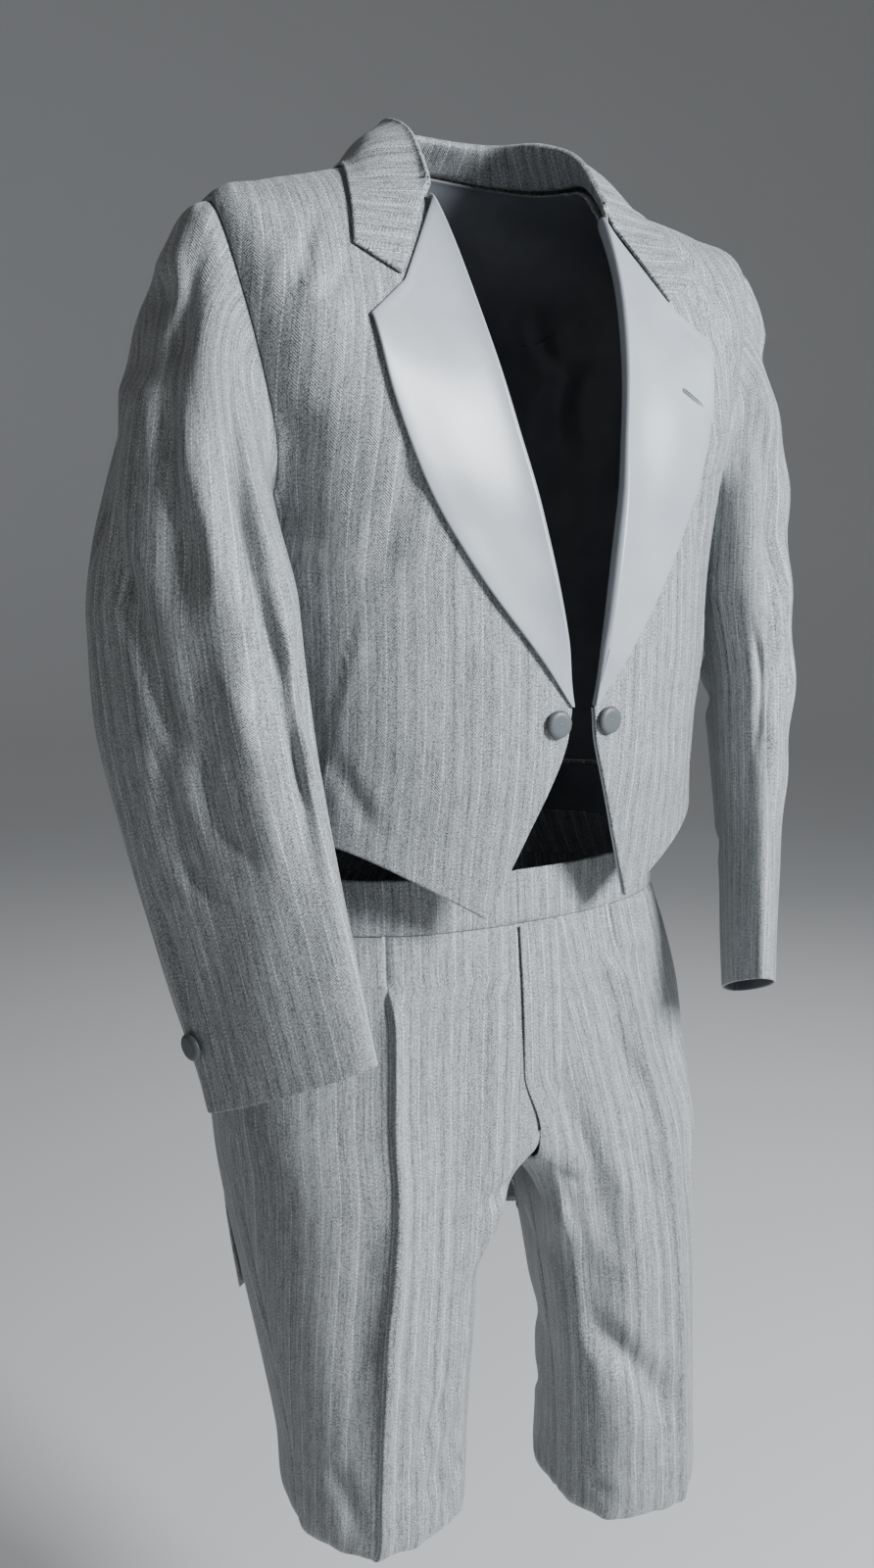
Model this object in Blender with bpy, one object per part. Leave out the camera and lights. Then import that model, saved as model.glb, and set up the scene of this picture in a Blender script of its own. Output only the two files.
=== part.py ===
"""Tailcoat suit: a worn, hollow tailcoat and the upper part of its trousers.

The origin is the middle of the neck base, with +Z up, the wearer's front toward -Y and the
wearer's left toward +X.  All lengths are metres.  The coat's cloth follows one surface, given
by rings that run from the neck over the shoulders to the tails.  Each panel is a wall cut
from that surface, and each seam leaves a small gap between two walls.
"""

import math

import bpy
import numpy as np

# Cloth thicknesses and fits.
SEAM = 0.0003
COAT_CLOTH = 0.0022
TAIL_CLOTH = 0.0016
LINING = 0.0010
LINING_EASE = 0.0008
OVERLAY_EASE = 0.0010
SLEEVE_CLOTH = 0.0018
LAPEL_CLOTH = 0.0022
LAPEL_START = 0.024
GORGE_GAP = 0.0008
COLLAR_CLOTH = 0.0026
TROUSER_CLOTH = 0.0016

# Coat rings: front centre, side and back centre heights, then the half width, the depths at
# front centre, side and back centre, and how square the ring is (2 is an ellipse).
TORSO_COLUMNS = ("z_front", "z_side", "z_back", "half_width", "y_front", "y_side", "y_back", "square")
TORSO = {
    "neck seam":      (-0.100, -0.006, 0.010, 0.080, -0.104, -0.016, 0.068, 2.0),
    "inner shoulder": (-0.130, -0.018, -0.036, 0.125, -0.114, -0.022, 0.090, 2.1),
    "outer shoulder": (-0.160, -0.032, -0.082, 0.175, -0.123, -0.032, 0.107, 2.2),
    "shoulder point": (-0.192, -0.050, -0.125, 0.213, -0.131, -0.040, 0.117, 2.2),
    "shoulder blade": (-0.225, -0.125, -0.172, 0.210, -0.140, -0.024, 0.122, 2.3),
    "chest":          (-0.256, -0.200, -0.220, 0.197, -0.145, -0.010, 0.122, 2.3),
    "armpit":         (-0.290, -0.262, -0.268, 0.188, -0.149, -0.002, 0.116, 2.3),
    "rib":            (-0.335, -0.332, -0.330, 0.184, -0.152, 0.000, 0.106, 2.3),
    "waist":          (-0.400, -0.400, -0.398, 0.178, -0.151, 0.002, 0.098, 2.3),
    "hem":            (-0.460, -0.458, -0.460, 0.186, -0.141, 0.004, 0.106, 2.3),
    "high hip":       (-0.525, -0.530, -0.530, 0.204, -0.130, 0.004, 0.124, 2.3),
    "seat":           (-0.610, -0.610, -0.610, 0.206, -0.125, 0.004, 0.131, 2.4),
    "under seat":     (-0.700, -0.700, -0.700, 0.196, -0.120, 0.004, 0.134, 2.6),
    "tail":           (-0.790, -0.790, -0.790, 0.190, -0.120, 0.004, 0.136, 2.6),
    "tail hem":       (-0.880, -0.880, -0.880, 0.184, -0.120, 0.004, 0.136, 2.6),
}
RING = {name: float(number) for number, name in enumerate(TORSO)}

# Armhole: an oval on the coat surface, in ring numbers and in angle to each side of the seam.
ARMHOLE_TOP = RING["shoulder point"]
ARMHOLE_BOTTOM = RING["armpit"]
ARMHOLE_FRONT = math.radians(27.0)
ARMHOLE_BACK = math.radians(24.0)
ARMHOLE_STEPS = 8
ARMHOLE_LIFT = 0.0006
SIDE = math.radians(90.0)

# Front view shapes, each a table of x and z on the wearer's left.
ROLL_LINE = ((0.071, -0.030), (0.062, -0.100), (0.047, -0.180), (0.028, -0.270), (0.009, -0.362))
FRONT_CUT = ((0.009, -0.362), (0.014, -0.392), (0.036, -0.448), (0.060, -0.504))
FRONT_HEM = ((0.060, -0.504), (0.100, -0.480), (0.145, -0.455), (0.186, -0.440))
LAPEL_EDGE = ((0.137, -0.117), (0.128, -0.165), (0.108, -0.220), (0.076, -0.275), (0.038, -0.325),
              (0.011, -0.360))
GORGE = ((0.071, -0.030), (0.108, -0.091))
COLLAR_CORNER = (0.137, -0.073)
WAIST_SEAM = 8.72
TAIL_LAP = 0.022
TAIL_RAISE = 0.0058
TAIL_HEM = 13.82

# Tail front rim: ring number and angle round from front centre.
TAIL_RIM = ((8.72, 93.0), (9.5, 94.0), (10.3, 99.0), (11.2, 112.0), (12.0, 127.0), (13.0, 130.0),
            (13.82, 134.0))

# Collar, from the back centre to its front end: roll line, seam and outer edge.
COLLAR_COLUMNS = ("roll_x", "roll_y", "roll_z", "seam_angle", "seam_ring", "edge_x", "edge_y", "edge_z")
COLLAR = {
    "back centre": (0.000, 0.046, 0.032, 180.0, 0.02, 0.000, 0.090, -0.004),
    "back neck":   (0.042, 0.035, 0.030, 136.0, 0.02, 0.062, 0.074, -0.008),
    "neck side":   (0.062, -0.006, 0.025, 90.0, 0.02, 0.098, 0.014, -0.010),
    "front neck":  (0.067, -0.042, 0.010, 68.0, 0.04, 0.118, -0.040, -0.020),
    "front end":   (0.070, -0.070, -0.024, 56.0, 0.14, 0.137, -0.079, -0.072),
}

# Sleeve stations from below the armhole to the cuff: centre, half sizes along and across the
# flattened oval, and how far the oval's front is raised for each metre along it.
SLEEVE_COLUMNS = ("x", "y", "z", "half_long", "half_short", "raise_front")
SLEEVE = {
    "under armhole": (0.233, -0.047, -0.300, 0.076, 0.035, 0.12),
    "elbow":         (0.233, -0.058, -0.360, 0.077, 0.031, 0.22),
    "forearm":       (0.227, -0.071, -0.420, 0.073, 0.027, 0.30),
    "mid forearm":   (0.217, -0.088, -0.490, 0.068, 0.023, 0.36),
    "wrist":         (0.206, -0.105, -0.560, 0.064, 0.020, 0.40),
    "cuff":          (0.200, -0.114, -0.600, 0.062, 0.018, 0.42),
}
SLEEVE_TURN = math.radians(35.0)
SLEEVE_HEAD = 0.34
BACK_SEAM = math.radians(270.0)
FRONT_SEAM = math.radians(135.0)

# Trouser rows, for the wearer's left: height, outer and inner x, depth at front, side and back.
# An inner x below zero is a hip row, cut off by the middle plane.
TROUSER_COLUMNS = ("z", "outer_x", "inner_x", "y_front", "y_side", "y_back")
TROUSERS = {
    "waistband top": (-0.482, 0.158, -0.158, -0.098, 0.000, 0.088),
    "waist seam":    (-0.521, 0.165, -0.165, -0.101, 0.000, 0.100),
    "high hip":      (-0.562, 0.181, -0.181, -0.106, 0.000, 0.116),
    "hip":           (-0.607, 0.194, -0.182, -0.110, 0.000, 0.126),
    "seat":          (-0.652, 0.197, -0.124, -0.113, -0.002, 0.124),
    "crotch":        (-0.700, 0.194, 0.0015, -0.117, -0.008, 0.108),
    "upper thigh":   (-0.750, 0.191, 0.012, -0.121, -0.019, 0.088),
    "thigh":         (-0.805, 0.187, 0.021, -0.125, -0.033, 0.064),
    "mid thigh":     (-0.860, 0.183, 0.034, -0.128, -0.046, 0.041),
    "above knee":    (-0.910, 0.180, 0.044, -0.130, -0.056, 0.023),
    "leg end":       (-0.957, 0.178, 0.050, -0.130, -0.060, 0.014),
    "turned in":     (-0.966, 0.161, 0.060, -0.112, -0.060, -0.004),
}
LEG = {name: float(number) for number, name in enumerate(TROUSERS)}
LEG_SQUARE = 2.35
# Extra squareness of the inner half at the fork, and the slant of the legs' inner side by row.
FORK_SQUARE = 4.6
INNER_SLANT = ((6.0, 0.44), (7.0, 0.43), (8.0, 0.35), (9.0, 0.20), (10.0, 0.09), (11.0, 0.05))
CREASE_LINE = ((0.520, 0.099), (0.560, 0.106), (0.600, 0.112), (0.720, 0.124), (0.980, 0.134))
CREASE_RISE = 0.005
PLEAT_DEPTH = 0.007
LEG_SWAY = 0.005
LEG_LOWER = 0.062

# Small pieces.
WELT = ((0.117, -0.211), (0.168, -0.202), (0.171, -0.174), (0.127, -0.182))
WELT_CLOTH = 0.0012
FLY_WIDTH = 0.036
FLY_FOOT = 4.45
FLY_CLOTH = 0.0010
FLY_EASE = 0.0022
FRONT_BUTTON = (0.021, -0.371)
BUTTON_RADIUS = 0.0095
BUTTON_HEIGHT = 0.0045
CUFF_BUTTON_SHARES = (0.811, 0.906)


def clear_scene():
    """Remove every object and mesh."""
    for thing in list(bpy.data.objects):
        bpy.data.objects.remove(thing, do_unlink=True)
    for mesh in list(bpy.data.meshes):
        bpy.data.meshes.remove(mesh)


def spline(rows, place):
    """Smooth value of a table of rows at a row number, which may be a fraction."""
    rows = np.asarray(rows, dtype=float)
    place = np.clip(np.asarray(place, dtype=float), 0.0, len(rows) - 1.0)
    low = np.minimum(place.astype(int), len(rows) - 2)
    part = (place - low)[..., None]
    slope = np.gradient(rows, axis=0)
    start, end = rows[low], rows[low + 1]
    leave, arrive = slope[low], slope[low + 1]
    square, cube = part**2, part**3
    return ((2 * cube - 3 * square + 1) * start + (cube - 2 * square + part) * leave
            + (3 * square - 2 * cube) * end + (cube - square) * arrive)


def along(points, value):
    """Straight-line value of the second column of a table at a value of its first column."""
    table = np.array(sorted(points))
    return np.interp(value, table[:, 0], table[:, 1])


def soft_step(value):
    """Zero below 0, one above 1 and a smooth rise between."""
    value = np.clip(value, 0.0, 1.0)
    return value * value * (3.0 - 2.0 * value)


def torso(angle, level):
    """Coat surface on the wearer's left: angle from front centre (0) to back centre (pi)."""
    angle, level = np.broadcast_arrays(np.asarray(angle, float), np.asarray(level, float))
    row = spline(list(TORSO.values()), level)
    z_front, z_side, z_back, half_width, y_front, y_side, y_back, square = np.moveaxis(row, -1, 0)
    across, ahead = np.sin(angle), np.cos(angle)
    size = (np.abs(across) ** square + np.abs(ahead) ** square) ** (1.0 / square)
    y_end = np.where(ahead > 0.0, y_front, y_back)
    z_end = np.where(ahead > 0.0, z_front, z_back)
    x = half_width * across / size
    y = y_side + (y_end - y_side) * np.abs(ahead) / size
    z = z_side + (z_end - z_side) * ahead**2
    return np.stack([x, y, z], axis=-1)


def normal(surface, first, second):
    """Unit normal of a surface of two variables, pointing to its outer side."""
    step = 1e-4
    along_first = surface(first + step, second) - surface(first - step, second)
    along_second = surface(first, second + step) - surface(first, second - step)
    out = np.cross(along_first, along_second)
    return out / np.linalg.norm(out, axis=-1, keepdims=True)


def torso_out(angle, level, lift):
    """Point on the coat surface moved out by a lift, which may be below zero."""
    return torso(angle, level) - normal(torso, angle, level) * np.asarray(lift)[..., None]


def front_place(x, z):
    """Angle and level of the coat's front surface that stand at x and z in front view."""
    x, z = np.broadcast_arrays(np.asarray(x, float), np.asarray(z, float))
    level = np.interp(-z, (0.02, 0.10, 0.20, 0.29, 0.40, 0.52), (1.0, 2.0, 4.0, 6.0, 8.0, 10.0))
    angle = np.arcsin(np.clip(x / 0.19, 0.01, 0.95))
    for _ in range(24):
        here = torso(angle, level)
        by_angle = (torso(angle + 1e-4, level) - here) / 1e-4
        by_level = (torso(angle, level + 1e-4) - here) / 1e-4
        miss_x, miss_z = x - here[..., 0], z - here[..., 2]
        turn = by_angle[..., 0] * by_level[..., 2] - by_level[..., 0] * by_angle[..., 2]
        angle = angle + np.clip((miss_x * by_level[..., 2] - by_level[..., 0] * miss_z) / turn, -0.2, 0.2)
        level = level + np.clip((by_angle[..., 0] * miss_z - miss_x * by_angle[..., 2]) / turn, -0.8, 0.8)
        level = np.clip(level, 0.0, 11.0)
        angle = np.clip(angle, 0.0, SIDE)
    return angle, level


def front_edge(level):
    """Angle of the front panel's free edge: the roll line, then the cutaway edge."""
    edge = [(z, x) for x, z in ROLL_LINE + FRONT_CUT[1:]]
    low, high = np.zeros_like(level), np.full_like(level, SIDE)
    for _ in range(40):
        middle = (low + high) / 2.0
        here = torso(middle, level)
        outside = here[..., 0] > along(edge, here[..., 2])
        high = np.where(outside, middle, high)
        low = np.where(outside, low, middle)
    return (low + high) / 2.0


def armhole(turn):
    """Angle and level of the armhole at a turn: 0 shoulder, pi/2 front, pi armpit."""
    reach = np.where(np.sin(turn) > 0.0, ARMHOLE_FRONT, ARMHOLE_BACK)
    middle = (ARMHOLE_TOP + ARMHOLE_BOTTOM) / 2.0
    half = (ARMHOLE_BOTTOM - ARMHOLE_TOP) / 2.0
    return SIDE - reach * np.sin(turn), middle - half * np.cos(turn)


def side_edge(level, sign):
    """Angle of a panel's side edge: shoulder seam, armhole, then side seam."""
    middle = (ARMHOLE_TOP + ARMHOLE_BOTTOM) / 2.0
    half = (ARMHOLE_BOTTOM - ARMHOLE_TOP) / 2.0
    reach = ARMHOLE_FRONT if sign < 0 else ARMHOLE_BACK
    across = np.sqrt(np.clip(1.0 - ((level - middle) / half) ** 2, 0.0, 1.0))
    return SIDE + sign * reach * across


def panel_levels(bottom, lower_rows):
    """Ring numbers of a panel's rows, close together where the armhole turns quickly."""
    turns = np.linspace(0.0, math.pi, ARMHOLE_STEPS + 1)
    arm = armhole(turns)[1]
    upper = np.array([RING["neck seam"], 0.8, 1.6, 2.2, 2.7])
    part = np.linspace(0.0, 1.0, lower_rows)[1:]
    lower = ARMHOLE_BOTTOM + (np.asarray(bottom)[..., None] - ARMHOLE_BOTTOM) * part
    fixed = np.broadcast_to(np.concatenate([upper, arm]), np.shape(bottom) + (ARMHOLE_STEPS + 6,))
    return np.concatenate([fixed, lower], axis=-1)


def front_bottom(shares):
    """Ring number of the front hem for each share of the way from free edge to side seam."""
    low, high = np.full_like(shares, 7.0), np.full_like(shares, 10.4)
    for _ in range(40):
        middle = (low + high) / 2.0
        start = front_edge(middle)
        here = torso(start + (SIDE - start) * shares, middle)
        below = here[..., 2] < along(FRONT_HEM, here[..., 0])
        high = np.where(below, middle, high)
        low = np.where(below, low, middle)
    return (low + high) / 2.0


def inset(grid, amount, sides):
    """Move the chosen border rows of a grid of points inward by an amount."""
    grid = grid.copy()
    for side in sides:
        border, inside = {"first row": ((0,), (1,)), "last row": ((-1,), (-2,)),
                          "first column": ((slice(None), 0), (slice(None), 1)),
                          "last column": ((slice(None), -1), (slice(None), -2))}[side]
        step = grid[inside] - grid[border]
        length = np.maximum(np.linalg.norm(step, axis=-1, keepdims=True), 1e-9)
        grid[border] = grid[border] + step / length * amount
    return grid


ALL_SIDES = ("first row", "last row", "first column", "last column")


def mirrored(points, side):
    """Points as given for the wearer's left, or mirrored for the right."""
    points = np.array(points, dtype=float)
    if side == "R":
        points[..., 0] *= -1.0
    return points


def wall(name, outer, inner, slot):
    """Make a closed solid between two grids of points."""
    rows, columns = outer.shape[:2]
    vertices = np.concatenate([outer.reshape(-1, 3), inner.reshape(-1, 3)])

    def at(row, column, layer):
        return (layer * rows + row) * columns + column

    quads = []
    for row in range(rows - 1):
        for column in range(columns - 1):
            corners = (row, column), (row + 1, column), (row + 1, column + 1), (row, column + 1)
            quads.append([at(r, c, 0) for r, c in corners])
            quads.append([at(*corners[k], 1) for k in (0, 3, 2, 1)])
    last = rows - 1
    for column in range(columns - 1):
        quads.append([at(0, column + 1, 0), at(0, column + 1, 1), at(0, column, 1), at(0, column, 0)])
        quads.append([at(last, column, 0), at(last, column, 1), at(last, column + 1, 1), at(last, column + 1, 0)])
    last = columns - 1
    for row in range(rows - 1):
        quads.append([at(row, 0, 0), at(row, 0, 1), at(row + 1, 0, 1), at(row + 1, 0, 0)])
        quads.append([at(row + 1, last, 0), at(row + 1, last, 1), at(row, last, 1), at(row, last, 0)])
    faces = [half for a, b, c, d in quads for half in ([a, b, c], [a, c, d])]
    return add_solid(name, vertices, faces, slot)


def add_solid(name, vertices, faces, slot):
    """Add a mesh object, with its faces turned outward and its slot's material."""
    volume = 0.0
    for face in faces:
        for second, third in zip(face[1:-1], face[2:]):
            a, b, c = vertices[face[0]], vertices[second], vertices[third]
            volume += float(np.dot(a, np.cross(b, c)))
    if volume < 0.0:
        faces = [face[::-1] for face in faces]
    mesh = bpy.data.meshes.new(name)
    mesh.from_pydata([tuple(map(float, vertex)) for vertex in vertices], [], faces)
    mesh.validate()
    mesh.materials.append(material(slot, name))
    for polygon in mesh.polygons:
        polygon.use_smooth = True
    solid = bpy.data.objects.new(name, mesh)
    bpy.context.collection.objects.link(solid)
    return solid


COLOURS = {
    "coat_cloth": (0.36, 0.38, 0.38, 0.75),
    "trouser_cloth": (0.34, 0.36, 0.36, 0.75),
    "satin": (0.48, 0.50, 0.51, 0.35),
    "lining": (0.03, 0.03, 0.035, 0.5),
    "button_satin": (0.12, 0.13, 0.14, 0.45),
}


def material(slot, name):
    """Principled material of one piece, coloured for its slot."""
    red, green, blue, rough = COLOURS[slot]
    made = bpy.data.materials.new(f"{slot}_{name}")
    made.use_nodes = True
    shader = made.node_tree.nodes["Principled BSDF"]
    shader.inputs["Base Color"].default_value = (red, green, blue, 1.0)
    shader.inputs["Roughness"].default_value = rough
    return made


def coat_front(side):
    """Front panel, from shoulder and neck to the pointed hem."""
    shares = np.linspace(0.0, 1.0, 9)
    levels = panel_levels(front_bottom(shares), 7)
    start = front_edge(levels)
    end = side_edge(levels, -1)
    angles = start + (end - start) * shares[:, None]
    outer = torso(angles, levels)
    inner = torso_out(angles, levels, np.full(angles.shape, -COAT_CLOTH))
    outer, inner = (inset(grid, SEAM / 2, ALL_SIDES) for grid in (outer, inner))
    return wall(f"coat_front_{side}", mirrored(outer, side), mirrored(inner, side), "coat_cloth")


def coat_back(side):
    """Back panel, from shoulder and neck to the waist seam."""
    shares = np.linspace(0.0, 1.0, 8)
    levels = panel_levels(np.full(shares.shape, WAIST_SEAM), 7)
    start = side_edge(levels, 1)
    angles = start + (math.pi - start) * shares[:, None]
    outer = torso(angles, levels)
    inner = torso_out(angles, levels, np.full(angles.shape, -COAT_CLOTH))
    outer, inner = (inset(grid, SEAM / 2, ALL_SIDES) for grid in (outer, inner))
    return wall(f"coat_back_{side}", mirrored(outer, side), mirrored(inner, side), "coat_cloth")


def tail_grid(depth, side):
    """Points of a tail at a depth under its outer surface; the left laps past the middle."""
    levels = np.linspace(WAIST_SEAM, TAIL_HEM, 10)[:, None]
    rim = np.radians(along(TAIL_RIM, levels))
    lap = TAIL_LAP * soft_step((levels - WAIST_SEAM) / 0.5) - SEAM
    centre = math.pi + (lap / 0.2 if side == "L" else -SEAM / 0.2)
    shares = np.linspace(0.0, 1.0, 9)[None, :]
    angles = rim + (centre - rim) * shares
    levels = np.broadcast_to(levels, angles.shape)
    x = torso(angles, levels)[..., 0]
    raised = TAIL_RAISE * soft_step((0.045 - x) / 0.040) if side == "L" else np.zeros_like(x)
    return torso_out(angles, levels, raised - depth)


def coat_tail(side):
    """Tail, from the waist seam to its hem; the wearer's left laps over the right."""
    outer = inset(tail_grid(0.0, side), SEAM, ("first row",))
    inner = inset(tail_grid(TAIL_CLOTH, side), SEAM, ("first row",))
    return wall(f"coat_tail_{side}", mirrored(outer, side), mirrored(inner, side), "coat_cloth")


def tail_lining(side):
    """Lining of a tail, just inside its cloth and short of its edges."""
    outer = inset(tail_grid(TAIL_CLOTH + LINING_EASE, side), 0.004, ALL_SIDES)
    inner = inset(tail_grid(TAIL_CLOTH + LINING_EASE + LINING, side), 0.004, ALL_SIDES)
    return wall(f"tail_lining_{side}", mirrored(outer, side), mirrored(inner, side), "lining")


def sleeve_station(turn, place):
    """Sleeve point below the armhole: turn round from outside (0) by the front, row number."""
    row = spline(list(SLEEVE.values()), place)
    x, y, z, half_long, half_short, rise = np.moveaxis(row, -1, 0)
    ahead = np.array([-math.sin(SLEEVE_TURN), -math.cos(SLEEVE_TURN)])
    outward = np.array([math.cos(SLEEVE_TURN), -math.sin(SLEEVE_TURN)])
    long_way = half_long * np.sin(turn)
    short_way = half_short * np.cos(turn)
    return np.stack([x + ahead[0] * long_way + outward[0] * short_way,
                     y + ahead[1] * long_way + outward[1] * short_way,
                     z + rise * long_way], axis=-1)


def clear_of_side(points, gap):
    """Push points out along x until they stand a gap clear of the coat's side."""
    heights = np.array([row[1] for row in TORSO.values()])
    place = np.interp(-points[..., 2], -heights, np.arange(len(heights)))
    row = spline(list(TORSO.values()), place)
    half_width, y_front, y_side, y_back, square = (row[..., k] for k in (3, 4, 5, 6, 7))
    y = points[..., 1]
    depth = np.where(y < y_side, y_side - y_front, y_back - y_side)
    ahead = np.clip(np.abs(y - y_side) / depth, 0.0, 1.0)
    limit = half_width * (1.0 - ahead**square) ** (1.0 / square) + gap
    over = limit - points[..., 0]
    pushed = points.copy()
    pushed[..., 0] += 0.5 * (over + np.sqrt(over**2 + 0.003**2)) * (over > -0.02)
    return pushed


def sleeve(turn, share):
    """Sleeve surface: turn round it, and share of its length from armhole to cuff."""
    turn, share = np.broadcast_arrays(np.asarray(turn, float), np.asarray(share, float))
    angle, level = armhole(turn)
    start = torso_out(angle, level, ARMHOLE_LIFT + 0.0010 * (1.0 - np.cos(turn)) / 2.0)
    last = len(SLEEVE) - 1.0
    below = sleeve_station(turn, (share - SLEEVE_HEAD) / (1.0 - SLEEVE_HEAD) * last)
    end = sleeve_station(turn, 0.0)
    down = (sleeve_station(turn, 0.05) - end) / 0.05
    down = down / np.linalg.norm(down, axis=-1, keepdims=True)
    reach = np.linalg.norm(end - start, axis=-1, keepdims=True)
    top = (1.0 + np.cos(turn)) / 2.0
    out = np.stack([0.35 + 0.65 * top, np.zeros_like(top), -1.0 + 0.60 * top], axis=-1)
    out = out / np.linalg.norm(out, axis=-1, keepdims=True)
    part = np.clip(share / SLEEVE_HEAD, 0.0, 1.0)[..., None]
    square, cube = part**2, part**3
    pull = reach * (0.50 + 0.10 * top[..., None])
    head = ((2 * cube - 3 * square + 1) * start + (cube - 2 * square + part) * out * pull
            + (3 * square - 2 * cube) * end + (cube - square) * down * reach * 0.95)
    free = soft_step(share / 0.12)[..., None]
    points = np.where((share < SLEEVE_HEAD)[..., None], head, below)
    return points + (clear_of_side(points, 0.0045) - points) * free


def sleeve_grid(start, end, columns, depth):
    """Points of one sleeve piece between two turns, at a depth under its surface."""
    turns = np.linspace(start, end, columns)[None, :]
    head = np.linspace(0.0, SLEEVE_HEAD, 7)
    shares = np.concatenate([head, np.linspace(SLEEVE_HEAD, 1.0, 8)[1:]])[:, None]
    shares = 0.003 + 0.997 * shares
    turns, shares = np.broadcast_arrays(turns, shares)
    return sleeve(turns, shares) - normal(sleeve, turns, shares) * depth


def sleeve_piece(name, start, end, columns, side):
    """One piece of a sleeve, cut between its front and back seams."""
    outer = sleeve_grid(start, end, columns, 0.0)
    inner = sleeve_grid(start, end, columns, -SLEEVE_CLOTH)
    outer, inner = (inset(grid, SEAM / 2, ("first column", "last column")) for grid in (outer, inner))
    return wall(f"{name}_{side}", mirrored(outer, side), mirrored(inner, side), "coat_cloth")


def nearest(points):
    """Angle and level of the coat surface nearest to each point, for points near it."""
    angles, levels = np.meshgrid(np.linspace(0.0, math.pi, 61), np.linspace(0.0, 8.0, 65))
    grid = torso(angles.ravel(), levels.ravel())
    flat = points.reshape(-1, 3)
    gaps = ((flat[:, None, :] - grid[None, :, :]) ** 2).sum(axis=2)
    best = gaps.argmin(axis=1)
    angle, level = angles.ravel()[best], levels.ravel()[best]
    for _ in range(12):
        here = torso(angle, level)
        by_angle = (torso(angle + 1e-4, level) - here) / 1e-4
        by_level = (torso(angle, level + 1e-4) - here) / 1e-4
        miss = flat - here
        aa, bb, ab = ((p * q).sum(1) for p, q in ((by_angle, by_angle), (by_level, by_level), (by_angle, by_level)))
        am, bm = (by_angle * miss).sum(1), (by_level * miss).sum(1)
        turn = np.maximum(aa * bb - ab * ab, 1e-12)
        angle = np.clip(angle + (am * bb - bm * ab) / turn, 0.0, math.pi)
        level = np.clip(level + (aa * bm - ab * am) / turn, 0.0, 14.0)
    return angle.reshape(points.shape[:-1]), level.reshape(points.shape[:-1])


def lifted_clear(points, lift):
    """Push points out until they stand at least a lift above the coat surface."""
    angle, level = nearest(points)
    out = -normal(torso, angle, level)
    height = ((points - torso(angle, level)) * out).sum(axis=-1)
    short = lift - height
    push = 0.5 * (short + np.sqrt(short**2 + 0.001**2))
    return points + out * push[..., None]


def on_front(x, z, lift):
    """Point over the coat front at x and z in front view."""
    x, z = np.broadcast_arrays(np.asarray(x, float), np.asarray(z, float))
    angle, level = front_place(x, z)
    return torso_out(angle, level, np.broadcast_to(lift, x.shape))


def between(points, share):
    """Point a share of the way along an open line of points, by its length."""
    line = np.array(points, dtype=float)
    lengths = np.concatenate([[0.0], np.cumsum(np.linalg.norm(np.diff(line, axis=0), axis=1))])
    here = np.asarray(share) * lengths[-1]
    return np.stack([np.interp(here, lengths, line[:, axis]) for axis in range(line.shape[1])], axis=-1)


def smooth_between(points, share):
    """Like between, rounded through the inner points of the line."""
    fine = spline(points, np.linspace(0.0, len(points) - 1.0, 60))
    return between(fine, share)


def lapel_grid(rows, columns, depth):
    """Points of a lapel on the wearer's left: rows down the roll line, columns to its edge."""
    down = np.linspace(0.0, 1.0, rows)
    across = np.linspace(0.0, 1.0, columns)
    roll = smooth_between(ROLL_LINE, LAPEL_START + (0.995 - LAPEL_START) * down)[:, None, :]
    edge = smooth_between(LAPEL_EDGE, down)[:, None, :]
    flat = roll + (edge - roll) * across[None, :, None]
    notch = between((GORGE[0], GORGE[1], LAPEL_EDGE[0]), across)
    straight = np.array(ROLL_LINE[0]) + (np.array(LAPEL_EDGE[0]) - np.array(ROLL_LINE[0])) * across[:, None]
    fade = np.clip(1.0 - down / 0.22, 0.0, 1.0) ** 1.6
    flat = flat + (notch - straight)[None] * fade[:, None, None]
    width = np.linalg.norm(edge - roll, axis=-1)
    roundness = np.exp(-across[None, :] * width / 0.012) * soft_step(width / 0.03)
    lift = LAPEL_CLOTH + OVERLAY_EASE + 0.0035 * roundness - depth
    return on_front(flat[..., 0], flat[..., 1], lift)


def lapel(side):
    """Satin-faced lapel, folded out over the front along the roll line."""
    outer = lapel_grid(13, 7, 0.0)
    inner = lapel_grid(13, 7, LAPEL_CLOTH)
    outer, inner = (inset(grid, GORGE_GAP, ("first row",)) for grid in (outer, inner))
    return wall(f"lapel_{side}", mirrored(outer, side), mirrored(inner, side), "satin")


def collar_section(place, part):
    """Collar section as its table gives it: up the stand, over the roll, down the fall."""
    row = spline(list(COLLAR.values()), place * (len(COLLAR) - 1.0))
    roll, edge = row[..., 0:3], row[..., 5:8]
    ring = np.maximum(row[..., 4], 0.02)
    seam = torso_out(np.radians(row[..., 3]), ring, np.full(ring.shape, 0.0014))
    out = edge - roll
    out[..., 2] = 0.0
    out = out / np.linalg.norm(out, axis=-1, keepdims=True)
    up = np.array([0.0, 0.0, 1.0])
    front = soft_step((place - 0.7) / 0.3)[..., None]
    low = roll - up * 0.004
    over = roll + out * 0.0035 + up * 0.0005
    down = roll + out * 0.0085 - up * (0.003 + 0.004 * front)
    middle = (down + edge) / 2.0 + (out * 0.3 + up) * 0.004 * (1.0 - front)
    stops = np.stack([seam, (seam + low) / 2.0, low, over, down, middle, edge], axis=-2)
    return along_stops(stops, part * 6.0)


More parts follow.
